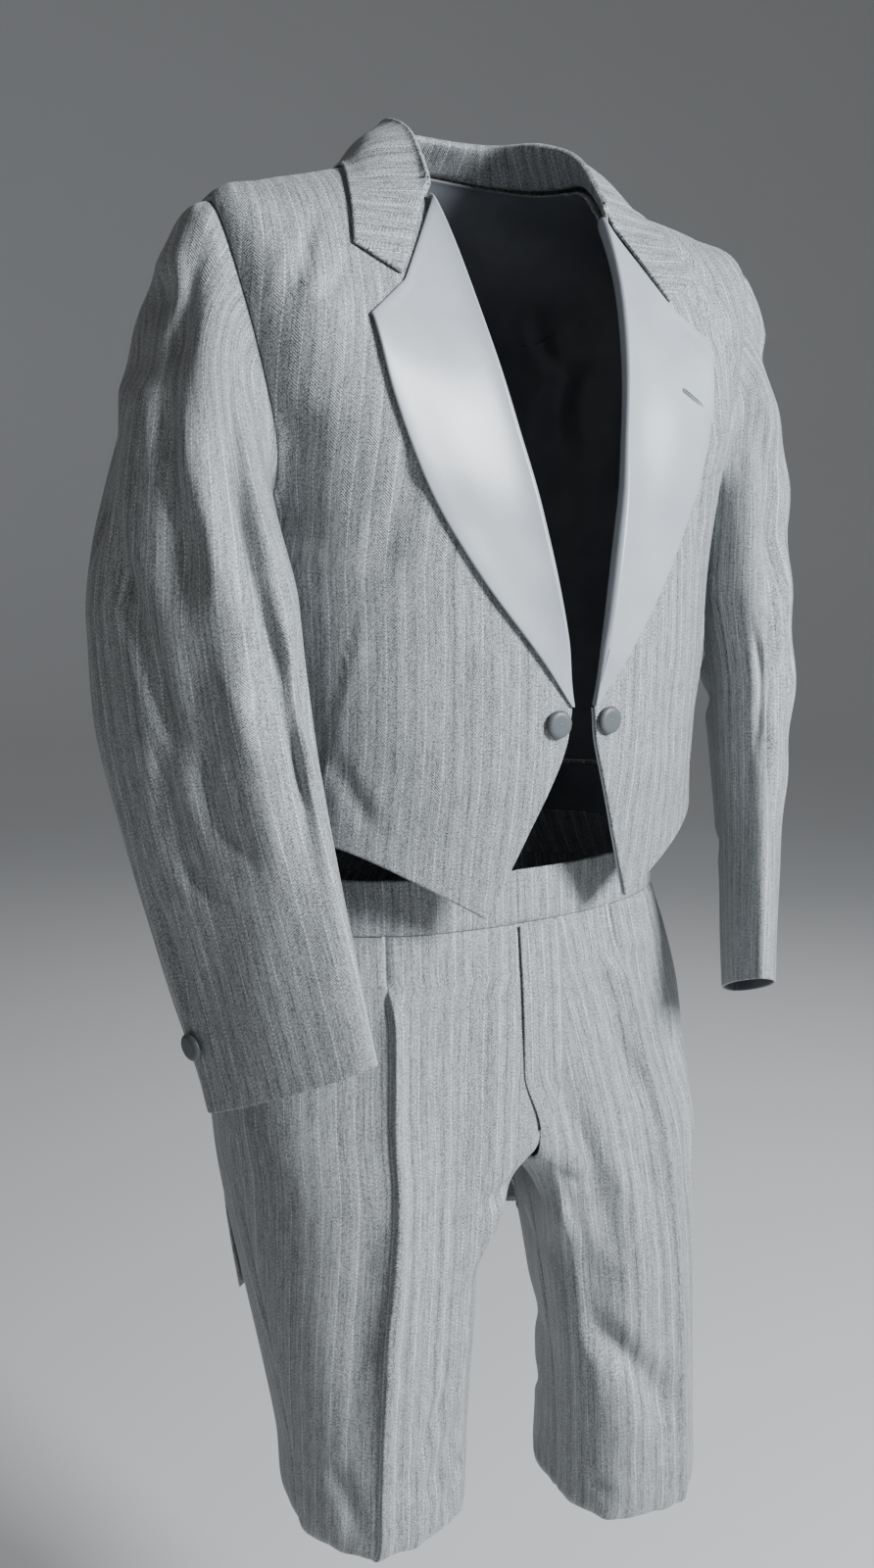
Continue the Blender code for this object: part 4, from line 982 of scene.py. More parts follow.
@dataclass(frozen=True)
class Satin(Finish):
    """Polyester satin: long floats that lie flat and give a smooth, milky sheen."""

    light: str = "aaafb4"
    dark: str = "959ba1"
    roughness: float = 0.34

    def shading(self, tree: Tree) -> dict[str, Any]:
        """Values and outputs for the shader's inputs."""
        cloud = noise(tree, add(tree, "ShaderNodeTexCoord").outputs["Object"], 28.0, 3.0)
        long_floats = noise(tree, cloth_place(tree), 1600.0, 1.0, 0.08)
        tone = math_of(tree, "MULTIPLY_ADD", math_of(tree, "SUBTRACT", long_floats, 0.5), 0.5, cloud,
                       clamp=True)
        relief = math_of(tree, "MULTIPLY_ADD", long_floats, 0.35, cloud)
        bump = add(tree, "ShaderNodeBump", {"Height": relief, "Strength": 0.12, "Distance": 0.0008})
        return {"Base Color": mix(tree, tone, linear(self.dark), linear(self.light)),
                "Roughness": math_of(tree, "MULTIPLY_ADD", cloud, 0.10, self.roughness - 0.05),
                "Normal": bump.outputs[0], "IOR": 1.5, "Sheen Weight": 0.15, "Sheen Roughness": 0.3}


@dataclass(frozen=True)
class TwillLining(Finish):
    """Charcoal viscose lining: a fine, slightly glossy twill."""

    light: str = "6a6d74"
    dark: str = "4a4d53"
    twill: float = 0.0012

    def shading(self, tree: Tree) -> dict[str, Any]:
        """Values and outputs for the shader's inputs."""
        axes = add(tree, "ShaderNodeSeparateXYZ", {0: cloth_place(tree)})
        run = math_of(tree, "ADD", axes.outputs[0], axes.outputs[1])
        wave = math_of(tree, "SINE", math_of(tree, "MULTIPLY", run, 2.0 * math.pi / self.twill))
        cloud = noise(tree, add(tree, "ShaderNodeTexCoord").outputs["Object"], 35.0, 3.0)
        tone = math_of(tree, "MULTIPLY_ADD", wave, 0.12, cloud, clamp=True)
        bump = add(tree, "ShaderNodeBump", {"Height": tone, "Strength": 0.25, "Distance": 0.0006})
        return {"Base Color": mix(tree, tone, linear(self.dark), linear(self.light)),
                "Roughness": math_of(tree, "MULTIPLY_ADD", cloud, 0.2, 0.32),
                "Normal": bump.outputs[0], "IOR": 1.5, "Sheen Weight": 0.1}


@dataclass(frozen=True)
class PaleFloor(Finish):
    """Matt studio floor with a faint mottle."""

    colour: str = "d9dadb"

    def shading(self, tree: Tree) -> dict[str, Any]:
        """Values and outputs for the shader's inputs."""
        cloud = noise(tree, add(tree, "ShaderNodeTexCoord").outputs["Object"], 1.5, 4.0)
        red, green, blue, _ = linear(self.colour)
        dimmed = (red * 0.97, green * 0.97, blue * 0.97, 1.0)
        return {"Base Color": mix(tree, cloud, dimmed, (red, green, blue, 1.0)), "Roughness": 0.75}


@dataclass
class Wardrobe:
    """The suit's finishes, made once and shared."""

    cloth: Material = field(default_factory=HerringboneStripe("coat_herringbone").build)
    trouser_cloth: Material = field(default_factory=HerringboneStripe("trouser_herringbone").build)
    satin: Material = field(default_factory=Satin("lapel_satin").build)
    lining: Material = field(default_factory=TwillLining("charcoal_lining").build)
    button: Material = field(default_factory=Satin("button_satin", "5f6568", "474c4f", 0.46).build)
    thread: Material = field(default_factory=Satin("grey_thread", "8c9490", "6f7773", 0.5).build)


def dress(piece: Piece, node: Optional[str] = None) -> Piece:
    """Attach a piece to the root body, hide the solid that it stands for, and log its faces.

    Args:
        piece: The finished piece.
        node: The solid that it stands for, if any.

    Returns:
        The same piece.
    """
    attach(piece, "root")
    if node:
        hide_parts(node)
    LOG.info("%s: %d faces", piece.name, len(piece.data.polygons))
    return piece


@dataclass
class CoatBody:
    """Front panels, back panels, tails and their linings."""

    finishes: Wardrobe
    columns: int = 62
    facing_width: float = 0.045
    facing_cloth: float = 0.0012
    warp_lean: float = 0.036
    tail_lap: float = 0.022
    lap_rise: float = 0.0058
    back_radius: float = 0.2
    dart: Line = ((0.141, -0.276), (0.145, -0.300), (0.151, -0.335), (0.157, -0.380), (0.164, -0.436))

    def wrap(self, levels: Array) -> Array:
        """How far each ring's weave follows the body round: not at the shoulder, fully below."""
        return soft_step((levels - 1.5) / 5.0)

    def front(self, side: Side) -> Piece:
        """Front panel, cut away to a point, with its dart seam and facing."""
        shares = edged(self.columns, 0.2)
        levels = COAT.panel_levels(COAT.front_bottom(shares))
        start = COAT.front_edge(levels)
        angles = start + (COAT.side_edge(levels, True) - start) * shares
        face = COAT.at(angles, levels)
        lean = self.warp_lean * np.clip((face[..., 2] + 0.27) / 0.25, 0.0, 1.0)
        across = run_across(face, self.wrap(levels)) + face[:, :1, 0] + lean
        sheet = Sheet(face, COAT.out(angles, levels), across, run_down(face), COAT_CLOTH,
                      (Border.LAST_COLUMN, Border.FIRST_ROW), side=side)
        chart = face[..., [0, 2]]
        height = creased(chart, FRONT_CREASES[side])
        height = height + Unevenness(0.075, 0.0007, 11 + (side is Side.LEFT)).at(face)
        height = height * sheet.clear_of(Border.LAST_COLUMN, 0.010, 0.1)
        seam = Fold(self.dart, 0.0011, 0.0016, 0.2)
        beside = Fold(tuple((x - 0.0035, z) for x, z in self.dart), 0.0030, -0.0011, 0.2)
        sheet.push(height + seam.at(chart) + beside.at(chart))
        turned = (sheet.reach(Border.FIRST_COLUMN) < self.facing_width) & (levels > 7.2)
        piece = sheet.build(f"front_cloth_{side.value}", self.finishes.cloth, self.finishes.lining,
                            turned[:-1, :-1], self.finishes.satin)
        return dress(piece, f"coat_front_{side.value}")

    def facing(self, side: Side) -> Piece:
        """Satin facing, whose edge peeps out along the cut-away front and its hem."""
        line = np.concatenate([rounded(FRONT_CUT), rounded(FRONT_HEM)[1:]])
        line = between(line, np.linspace(0.0, 0.995, 240))
        run = np.concatenate([[0.0], np.cumsum(np.linalg.norm(np.diff(line, axis=0), axis=-1))])
        corner = run[np.linalg.norm(line - np.array(FRONT_CUT[-1]), axis=-1).argmin()]
        way = unit(np.gradient(line, axis=0))
        inward = np.stack([-way[:, 1], way[:, 0]], axis=-1)
        blend = np.exp(-(((run - corner) / 0.0020) ** 2))[:, None]
        inward = unit(inward * (1.0 - blend) + np.array([0.0, 1.0]) * blend)
        deep = np.minimum(0.0110, 0.0012 + 0.45 * np.abs(run - corner))
        part = edged(8, 0.012)
        flat = line[:, None, :] + inward[:, None, :] * (-0.0008 + (deep[:, None] + 0.0008) * part)[..., None]
        angle, level = COAT.place(flat[..., 0], flat[..., 1])
        face = COAT.lifted(angle, level, -COAT_CLOTH - 0.0001)
        sheet = Sheet(face, COAT.out(angle, level), run_across(face), run_down(face), self.facing_cloth,
                      side=side)
        piece = sheet.build(f"front_facing_{side.value}", self.finishes.satin)
        return dress(piece, None)

    def back(self, side: Side) -> Piece:
        """Back panel, from shoulder and neck to the waist seam."""
        shares = edged(self.columns - 8, 0.2)
        levels = COAT.panel_levels(np.full(shares.shape, WAIST_SEAM))
        start = COAT.side_edge(levels, False)
        angles = start + (math.pi - start) * shares
        face = COAT.at(angles, levels)
        across = run_across(face, self.wrap(levels))
        across = across[:, -1:] - across
        sheet = Sheet(face, COAT.out(angles, levels), across, run_down(face), COAT_CLOTH,
                      tuple(Border), side=side)
        chart = face[..., [0, 2]]
        height = creased(chart, BACK_CREASES)
        height = height + Unevenness(0.085, 0.0010, 21 + (side is Side.LEFT)).at(face)
        fade = sheet.clear_of(Border.FIRST_COLUMN, 0.010, 0.1) * sheet.clear_of(Border.LAST_COLUMN, 0.012)
        sheet.push(height * fade * sheet.clear_of(Border.LAST_ROW, 0.010))
        piece = sheet.build(f"back_cloth_{side.value}", self.finishes.cloth, self.finishes.lining)
        return dress(piece, f"coat_back_{side.value}")

    def tail_points(self, levels: Array, shares: Array, depth: float, side: Side) -> tuple[Array, Array]:
        """Points of a tail at a depth under its face, and the way out; the left laps the right."""
        levels = levels[:, None]
        rim = np.radians(value_at(rounded(TAIL_RIM), levels))
        lap = self.tail_lap * soft_step((levels - WAIST_SEAM) / 0.5) - SEAM
        centre = math.pi + (lap if side is Side.LEFT else -SEAM) / self.back_radius
        angles = rim + (centre - rim) * shares[None, :]
        levels = np.broadcast_to(levels, angles.shape)
        x = COAT.at(angles, levels)[..., 0]
        raised = self.lap_rise * soft_step((0.045 - x) / 0.040) if side is Side.LEFT else 0.0
        points = COAT.lifted(angles, levels, raised - depth)
        chart = points[..., [0, 2]]
        height = creased(chart, TAIL_CREASES)
        fade = soft_step((levels - WAIST_SEAM) / 1.2) * soft_step((x - 0.035) / 0.03)
        out = COAT.out(angles, levels)
        return points + out * (height * fade)[..., None], out

    def tail(self, side: Side) -> Piece:
        """Tail, from the waist seam to its hem."""
        levels = WAIST_SEAM + 0.004 + (TAIL_HEM - WAIST_SEAM - 0.004) * edged(84, 0.43)
        face, out = self.tail_points(levels, edged(46, 0.18), 0.0, side)
        across = run_across(face)
        sheet = Sheet(face, out, across[:, -1:] - across, -face[..., 2], TAIL_CLOTH,
                      (Border.FIRST_ROW,), side=side)
        piece = sheet.build(f"tail_cloth_{side.value}", self.finishes.cloth)
        return dress(piece, f"coat_tail_{side.value}")

    def tail_lining(self, side: Side) -> Piece:
        """Lining of a tail, just inside its cloth and short of its edges."""
        levels = WAIST_SEAM + 0.06 + (TAIL_HEM - WAIST_SEAM - 0.12) * edged(60, 0.42)
        shares = 0.022 + 0.956 * edged(34, 0.17)
        face, out = self.tail_points(levels, shares, TAIL_CLOTH + 0.0008 + LINING_CLOTH, side)
        sheet = Sheet(face, -out, run_across(face), -face[..., 2], LINING_CLOTH, side=side)
        piece = sheet.build(f"tail_lining_cloth_{side.value}", self.finishes.lining)
        return dress(piece, f"tail_lining_{side.value}")

    def build(self) -> None:
        """Make every piece of the coat's body."""
        for side in Side:
            self.front(side)
            self.facing(side)
            self.back(side)
            self.tail(side)
            self.tail_lining(side)


@dataclass
class SleevePair:
    """Two-piece sleeves with soft upright drapes, set into the armholes.

    The folds' chart runs a thousandth of a metre for each degree round the sleeve, and in height.
    """

    finishes: Wardrobe
    head_roll: float = 0.0016
    left_shift: tuple[float, float] = (0.005, -0.012)

    def sheet(self, start: float, end: float, columns: int, width: float, side: Side) -> Sheet:
        """Sheet of one sleeve piece between two turns.

        Args:
            start: Turn of its first seam.
            end: Turn of its last seam.
            columns: How many even columns it has.
            width: Real width that they cover.
            side: The wearer's side.
        """
        turns = start + (end - start) * edged(columns, width)
        shares = 0.003 + 0.997 * edged(128, 0.64)
        turns, shares = np.broadcast_arrays(turns[None, :], shares[:, None])
        face = SLEEVES.at(turns, shares)
        out = SLEEVES.out(turns, shares)
        out = out * np.sign((out * (face - face.mean(axis=1, keepdims=True))).sum())
        tucked = SLEEVES.tucked(turns[:1])
        extra = len(tucked)
        face = np.concatenate([tucked, face])
        out = np.concatenate([np.repeat(out[:1], extra, axis=0), out])
        turns = np.concatenate([np.repeat(turns[:1], extra, axis=0), turns])
        shares = np.concatenate([np.zeros((extra, shares.shape[1])), shares])
        across, along = SLEEVES.weave(face, turns)
        sheet = Sheet(face, out, across, along, SLEEVE_CLOTH, (Border.FIRST_COLUMN, Border.LAST_COLUMN),
                      side=side)
        shift = (0.0, 0.0) if side is Side.RIGHT else self.left_shift
        chart = np.stack([np.degrees(turns) * 0.001 - shift[0], face[..., 2] - shift[1]], axis=-1)
        height = creased(chart, SLEEVE_CREASES)
        height = height + Unevenness(0.06, 0.0008, 31 + (side is Side.LEFT)).at(face)
        fade = soft_step((shares - 0.01) / 0.05) * (1.0 - 0.6 * soft_step((shares - 0.93) / 0.07))
        roll = self.head_roll * np.exp(-(((shares - 0.022) / 0.016) ** 2)) * soft_step(np.cos(turns))
        height = height * fade + roll
        clearance = soft_step((face[..., 0] - 0.196) / 0.020)
        sheet.push(np.where(height > 0.0, height * clearance, height))
        return sheet

    def build(self) -> None:
        """Make both pieces of both sleeves: the top one outside, the under one by the coat's side."""
        for side in Side:
            for kind, sheet in (("top", self.sheet(BACK_SEAM, FRONT_SEAM, 78, 0.2, side)),
                                ("under", self.sheet(FRONT_SEAM, BACK_SEAM + 2.0 * math.pi, 44, 0.13, side))):
                piece = sheet.build(f"{kind}_sleeve_cloth_{side.value}", self.finishes.cloth,
                                    self.finishes.lining)
                dress(piece, f"sleeve_{kind}_{side.value}")


@dataclass
class CollarAndLapels:
    """Satin lapels rolled over the fronts, the striped collar, and the breast welt."""

    finishes: Wardrobe
    lapel_start: float = 0.024
    underlap: float = COAT_CLOTH + 0.0016
    roundness: float = 0.0035
    least_cloth: float = 0.0009
    welt_cloth: float = 0.0012
    buttonhole: tuple[tuple[float, float], tuple[float, float]] = ((0.101, -0.152), (0.121, -0.164))

    def roll_places(self, down: Array) -> Array:
        """Places of a lapel's rows on the roll line, in front view."""
        return between(rounded(ROLL_LINE), self.lapel_start + (0.995 - self.lapel_start) * down)[:, None, :]

    def thinning(self, down: Array) -> Array:
        """One down most of the lapel, falling to zero where it runs out at the break."""
        return 1.0 - soft_step((down[:, None] - 0.86) / 0.13)

    def lapel_plan(self, down: Array, across: Array) -> tuple[Array, Array, Array]:
        """Front-view places of a lapel, its width and its height over the front.

        Args:
            down: Share of the way down the roll line, for each row.
            across: Share of the way out from the roll line, for each column.

        Returns:
            Places with x and z, the width of each row, and the height of each point.
        """
        roll = self.roll_places(down)
        edge = between(rounded(LAPEL_EDGE), down)[:, None, :]
        flat = roll + (edge - roll) * across[None, :, None]
        notch = between((GORGE[0], GORGE[1], LAPEL_EDGE[0]), np.clip(across, 0.0, 1.0))
        corner = np.array(ROLL_LINE[0])
        straight = corner + (np.array(LAPEL_EDGE[0]) - corner) * across[:, None]
        fade = np.clip(1.0 - down / 0.22, 0.0, 1.0) ** 1.6
        flat = flat + (notch - straight)[None] * fade[:, None, None]
        width = np.linalg.norm(edge - roll, axis=-1)
        roundness = np.exp(-across[None, :] * width / 0.012) * soft_step(width / 0.03)
        lift = 0.0013 + (LAPEL_CLOTH + OVERLAY_EASE - 0.0013) * self.thinning(down)
        return flat, width, lift + self.roundness * roundness

    def lapel(self, side: Side) -> Piece:
        """Lapel, with its satin carried round the roll to the inside of the front."""
        down = edged(120, 0.34)
        across = edged(46, 0.075)[1:]
        flat, width, lift = self.lapel_plan(down, across)
        angle, level = COAT.place(flat[..., 0], flat[..., 1])
        outer, out = COAT.lifted(angle, level, lift), COAT.out(angle, level)
        first, way_out = outer[:, :1], out[:, :1]
        side_way = unit(first - outer[:, 3:4])
        side_way = unit(side_way - way_out * (side_way * way_out).sum(axis=-1, keepdims=True))
        tall = (lift[:, :1] + self.underlap)[..., None]
        turn = np.linspace(math.pi, 0.0, 13)[None, :-1, None]
        bulge = 0.0042 * soft_step(width / 0.02)[..., None] + 0.0003
        rolled = first - way_out * tall * (1.0 - np.cos(turn)) / 2.0 + side_way * bulge * np.sin(turn)
        reach = np.linspace(0.012, 0.0012, 6)
        beyond = np.clip(reach[None, :] / np.maximum(width, 0.02), 0.0, 0.9)
        base = self.roll_places(down)
        tucked_at = base + (flat[:, -1:, :] - base) * beyond[..., None]
        tucked = COAT.on_front(tucked_at[..., 0], tucked_at[..., 1], -self.underlap)
        face = np.concatenate([tucked, rolled, outer], axis=1)
        hints = np.concatenate([np.repeat(-way_out, len(reach), axis=1),
                                -way_out * np.cos(turn) + side_way * np.sin(turn), out], axis=1)
        turned = len(reach) + turn.shape[1]
        thick = self.least_cloth + (LAPEL_CLOTH - self.least_cloth) * self.thinning(down)
        thick = np.broadcast_to(thick, face.shape[:-1]).copy()
        thick[:, :turned] = np.minimum(thick[:, :turned], np.linspace(0.0010, 0.0018, turned))
        run = run_across(face, 1.0, 1.0)
        sheet = Sheet(face, hints, run, run_down(face), thick, (Border.FIRST_ROW,), 0.0008, side)
        height = Unevenness(0.07, 0.0006, 41 + (side is Side.LEFT), 0.6).at(face)
        edge_curl = 0.0010 * np.exp(-((sheet.reach(Border.LAST_COLUMN) / 0.012) ** 2))
        sheet.push(height * sheet.clear_of(Border.FIRST_ROW, 0.01) + edge_curl)
        piece = sheet.build(f"lapel_satin_{side.value}", self.finishes.satin)
        return dress(piece, f"lapel_{side.value}")

    def collar_section(self, place: Array, part: Array) -> Array:
        """Collar section as its table gives it: up the stand, over the roll, down the fall."""
        row = spline(list(COLLAR.values()), place * (len(COLLAR) - 1.0))
        roll, edge = row[..., 0:3], row[..., 5:8]
        seam = COAT.lifted(np.radians(row[..., 3]), np.maximum(row[..., 4], 0.02), 0.0014)
        out = edge - roll
        out[..., 2] = 0.0
        out = unit(out)
        up = np.array([0.0, 0.0, 1.0])
        front = soft_step((place - 0.7) / 0.3)[..., None]
        low = roll - up * 0.004
        over = roll + out * 0.0035 + up * 0.0005
        down = roll + out * 0.0085 - up * (0.003 + 0.004 * front)
        middle = (down + edge) / 2.0 + (out * 0.3 + up) * 0.004 * (1.0 - front)
        stops = np.stack([seam, (seam + low) / 2.0, low, over, down, middle, edge], axis=-2)
        slope = np.gradient(stops, axis=-2)
        last = stops.shape[-2] - 1
        spot = np.clip(part * last, 0.0, last)
        first = np.minimum(spot.astype(int), last - 1)

        def pick(values: Array, index: Array) -> Array:
            """Values at an index along the stops."""
            return np.take_along_axis(values, index[..., None, None], axis=-2)[..., 0, :]

        return cubic(pick(stops, first), pick(slope, first), pick(stops, first + 1), pick(slope, first + 1),
                     (spot - first)[..., None])

    def collar_points(self, place: Array, part: Array) -> Array:
        """Collar surface, with its front end bent to the gorge line and laid on the front."""
        fall = np.clip((part - 0.5) / 0.5, 0.0, 1.0)
        end = between((GORGE[0], GORGE[1], COLLAR_CORNER), fall)
        lift = LAPEL_CLOTH + OVERLAY_EASE + self.roundness * np.exp(-fall * 0.07 / 0.012)
        laid = COAT.on_front(end[..., 0], end[..., 1], lift)
        shift = laid - self.collar_section(np.ones_like(place), part)
        fade = np.clip((place - 0.70) / 0.30, 0.0, 1.0) ** 2.0 * soft_step(fall / 0.2)
        return self.collar_section(place, part) + shift * fade[..., None]

    def collar_weave(self, face: Array) -> tuple[Array, Array]:
        """Metres along the roll line and away from it, at each point of the collar."""
        roll = face[:, 14]
        first, last = roll[0] + (roll[0] - roll[4]) * 4.0, roll[-1] + (roll[-1] - roll[-5]) * 4.0
        roll = between(np.concatenate([[first], roll, [last]]), np.linspace(0.0, 1.0, 900))
        length = np.linspace(0.0, 1.0, 900) * np.linalg.norm(np.diff(roll, axis=0), axis=-1).sum()
        flat = face.reshape(-1, 3)
        gap = ((flat[:, None, :] - roll[None]) ** 2).sum(axis=-1)
        near = gap.argmin(axis=1)
        left, right = np.maximum(near - 1, 0), np.minimum(near + 1, len(roll) - 1)
        way = unit(roll[right] - roll[left])
        along = length[near] + ((flat - roll[near]) * way).sum(axis=-1)
        return along.reshape(face.shape[:-1]), np.sqrt(gap.min(axis=1)).reshape(face.shape[:-1])

    def collar(self) -> Piece:
        """Collar in one piece: stand, roll and fall, round the back of the neck."""
        places = np.unique(np.concatenate([1.0 - edged(64, 0.22)[::-1][5:], [0.0]]))
        parts = np.unique(np.concatenate([np.linspace(0.0, 0.38, 12), np.linspace(0.38, 0.66, 18),
                                          0.66 + 0.34 * edged(20, 0.03)[5:]]))
        places, parts = np.broadcast_arrays(places[:, None], parts[None, :])
        face = self.collar_points(places, parts)
        out = normal_of(lambda place, part: self.collar_points(place, np.minimum(part, 1.0)), places, parts)
        under = COAT.clear(face - out * COLLAR_CLOTH, OVERLAY_EASE)
        keep = soft_step((parts - 0.55) / 0.2)[..., None]
        face = face + (under - (face - out * COLLAR_CLOTH)) * keep
        outward = np.where(parts[..., None] > 0.4, np.array([0.0, 0.0, 1.0]), out)
        face = np.concatenate([mirrored(face, Side.RIGHT)[:0:-1], face])
        sense = np.concatenate([mirrored(outward, Side.RIGHT)[:0:-1], outward])
        along, down = self.collar_weave(face)
        sheet = Sheet(face, sense, along, down, COLLAR_CLOTH,
                      (Border.FIRST_ROW, Border.LAST_ROW, Border.FIRST_COLUMN), 0.0008)
        height = Unevenness(0.06, 0.0005, 51, 0.8).at(face)
        fade = sheet.clear_of(Border.FIRST_ROW, 0.01) * sheet.clear_of(Border.LAST_ROW, 0.01)
        sheet.push(height * fade)
        piece = sheet.build("collar_cloth", self.finishes.cloth)
        return dress(piece, "collar")

    def welt(self) -> Piece:
        """Welt of the breast pocket, on the wearer's left."""
        share = edged(30, 0.052)
        low = between(WELT[:2], share)
        high = between((WELT[3], WELT[2]), share)
        part = edged(12, 0.024)[:, None, None]
        flat = high[None] + (low - high)[None] * part
        face = COAT.on_front(flat[..., 0], flat[..., 1], WELT_LIFT)
        angle, level = COAT.place(flat[..., 0], flat[..., 1])
        across = run_across(face) + 0.117
        sheet = Sheet(face, COAT.out(angle, level), across, -face[..., 2], self.welt_cloth,
                      (Border.LAST_ROW, Border.FIRST_COLUMN, Border.LAST_COLUMN), 0.0006)
        piece = sheet.build("breast_welt_cloth", self.finishes.cloth)
        return dress(piece, "breast_welt")

    def build(self) -> None:
        """Make the lapels, the collar and the welt."""
        for side in Side:
            self.lapel(side)
        self.collar()
        self.welt()


@dataclass
class Trousers:
    """Pleated trousers, cut off and turned in above the knee, with waistband and fly lap."""

    finishes: Wardrobe
    crease: dict[Side, Line] = field(default_factory=lambda: {
        Side.RIGHT: ((0.500, 0.109), (0.555, 0.113), (0.627, 0.118), (0.747, 0.130), (0.800, 0.137),
                     (0.877, 0.145), (0.980, 0.150)),
        Side.LEFT: ((0.500, 0.070), (0.550, 0.079), (0.585, 0.088), (0.636, 0.101), (0.682, 0.112),
                    (0.800, 0.128), (0.980, 0.136)),
    })
    pleat_depth: dict[Side, float] = field(default_factory=lambda: {Side.RIGHT: 0.0036, Side.LEFT: 0.0030})
    fly_reach: float = 0.014
    fly_width: float = 0.0235
    fly_rows: tuple[float, float] = (1.03, 4.45)
    fly_cloth: float = 0.0012
    band_cloth: float = 0.0024
    crease_ridge: float = 0.005
    tack_depth: float = 0.0022
    fork_height: float = -0.700
    gather_depth: float = 0.0008
    grain_row: int = 60
    back_middle: int = 34

    def squareness(self, level: Any, across: Any) -> Array:
        """Squareness of a row: its inner half is squarer at the fork."""
        fork = soft_step(1.0 - np.abs(np.asarray(level, float) - 5.0) / 1.6)
        return LEG_SQUARE + FORK_SQUARE * fork * (np.asarray(across) < 0.0)

    def at(self, angle: Any, level: Any, side: Side) -> Array:
        """Points of the trousers, before the legs' stance: angle 0 front, a half back."""
        angle, level = floats(angle, level)
        row = spline(list(TROUSERS.values()), level)
        z, outer_x, inner_x, y_front, y_side, y_back = np.moveaxis(row, -1, 0)
        middle, reach = (outer_x + inner_x) / 2.0, (outer_x - inner_x) / 2.0
        across, ahead = np.sin(angle), np.cos(angle)
        size = oval_size(across, ahead, self.squareness(level, across))
        y = y_side - np.where(ahead > 0.0, y_side - y_front, y_back - y_side) * ahead / size
        slant = soft_step((level - 5.0) / 0.9) * np.interp(level, *np.transpose(INNER_SLANT))
        x = middle + reach * across / size + slant * np.clip(-across / size, 0.0, 1.0) * (y - y_front)
        from_crease = x - value_at(rounded(self.crease[side]), -z)
        ridge = self.crease_ridge * np.exp(-((from_crease / 0.009) ** 2)) * soft_step((-z - 0.556) / 0.03)
        fold = soft_step((-z - 0.553) / 0.016) * np.interp(-z, (0.55, 0.75, 0.97), (1.0, 0.85, 0.45))
        step = -self.pleat_depth[side] * fold * np.tanh(from_crease / 0.0005) * np.exp(
            -((from_crease / np.where(from_crease > 0.0, 0.045, 0.030)) ** 2))
        tack = self.tack_depth * np.exp(-((from_crease / 0.0016) ** 2)) * soft_step((0.556 + z) / 0.004)
        return np.stack([x, y - (ridge + step - tack) * soft_step(ahead / 0.3), z], axis=-1)

    def angle_at(self, level: Any, x: Any) -> Array:
        """Angle, ahead of the side seam, at which a row stands at a given x."""
        row = spline(list(TROUSERS.values()), level)
        middle, reach = (row[..., 1] + row[..., 2]) / 2.0, (row[..., 1] - row[..., 2]) / 2.0
        ratio = np.clip((x - middle) / reach, -1.0, 1.0)
        square = self.squareness(level, ratio)
        return np.arctan2(ratio, (1.0 - np.abs(ratio) ** square) ** (1.0 / square))

    def out(self, angle: Any, level: Any, side: Side) -> Array:
        """Unit vectors that point out of the trousers."""
        return -normal_of(lambda turn, row: self.at(turn, row, side), *floats(angle, level))

    def stance(self, points: Array, side: Side) -> Array:
        """Points moved for one side's stance, still on the wearer's left: the left hangs lower."""
        placed = points.copy()
        low = soft_step((-placed[..., 2] - 0.62) / 0.36)
        placed[..., 0] += LEG_SWAY * low * (1.0 if side is Side.LEFT else -1.0)
        if side is Side.LEFT:
            placed[..., 2] -= LEG_LOWER * low
        return placed

    def rows(self) -> Array:
        """Row numbers from the waist seam to the turned-in end."""
        near = np.array([0.006, 0.018, 0.036, 0.06])
        hips = np.linspace(1.0, 4.0, 44)
        fork = 5.0 - (1.0 - np.linspace(0.0, 1.0, 26)) ** 1.7
        legs = np.linspace(5.0, 9.6, 66)
        turn = np.linspace(9.6, 11.0, 22)
        last = 11.0 - near[::-1] * 0.7
        values = np.concatenate([1.0 + near, hips, fork, legs, turn, last])
        return np.unique(np.round(values, 5))

    def columns(self, levels: Array, start: Array, side: Side) -> Array:
        """Angles of the front panel's columns, close together at the crease."""
        z = spline(list(TROUSERS.values()), levels)[..., 0]
        crease = self.angle_at(levels, value_at(rounded(self.crease[side]), -z))
        near = np.array([0.0, 0.0002, 0.0004, 0.0007, 0.0011, 0.0016, 0.0024, 0.0036, 0.0055, 0.008, 0.011,
                         0.015, 0.020]) / 0.09
        inner, outer = crease - near[::-1], crease + near[1:]
        corner = self.fork_corner(start)
        strip = start + (corner - start) * edged(14, 0.09)[None, :-1]
        first = corner + (inner[:, :1] - corner) * edged(36, 0.12)[None, :-5]
        last = outer[:, -1:] + (SIDE - outer[:, -1:]) * edged(30, 0.1)[None, 5:]
        return np.concatenate([strip, first, inner, outer, last], axis=1)

    def fork_corner(self, start: Array) -> Array:
        """Angle of a leg's front inner corner; above the fork it is just past the middle seam."""
        return np.maximum(start, -0.80) + 0.012

    def panel_angles(self, levels: Array, side: Side, back: bool) -> Array:
        """Angles of a panel's columns at each row, close together on the flat inner wall."""
        start = self.angle_at(levels, 0.0)
        if not back:
            return self.columns(levels, start, side)
        corner = math.pi - self.fork_corner(start)
        return np.concatenate([SIDE + (corner - SIDE) * edged(62, 0.26)[None, :-1],
                               corner + (math.pi - start - corner) * edged(14, 0.09)[None, :]], axis=1)

    def panel(self, side: Side, back: bool) -> Piece:
        """Front or back of one trouser leg."""
        levels = self.rows()[:, None]
        angles = self.panel_angles(levels, side, back)
        levels = np.broadcast_to(levels, angles.shape)
        face = self.at(angles, levels, side)
        out = self.out(angles, levels, side)
        chart = face[..., [0, 2]]
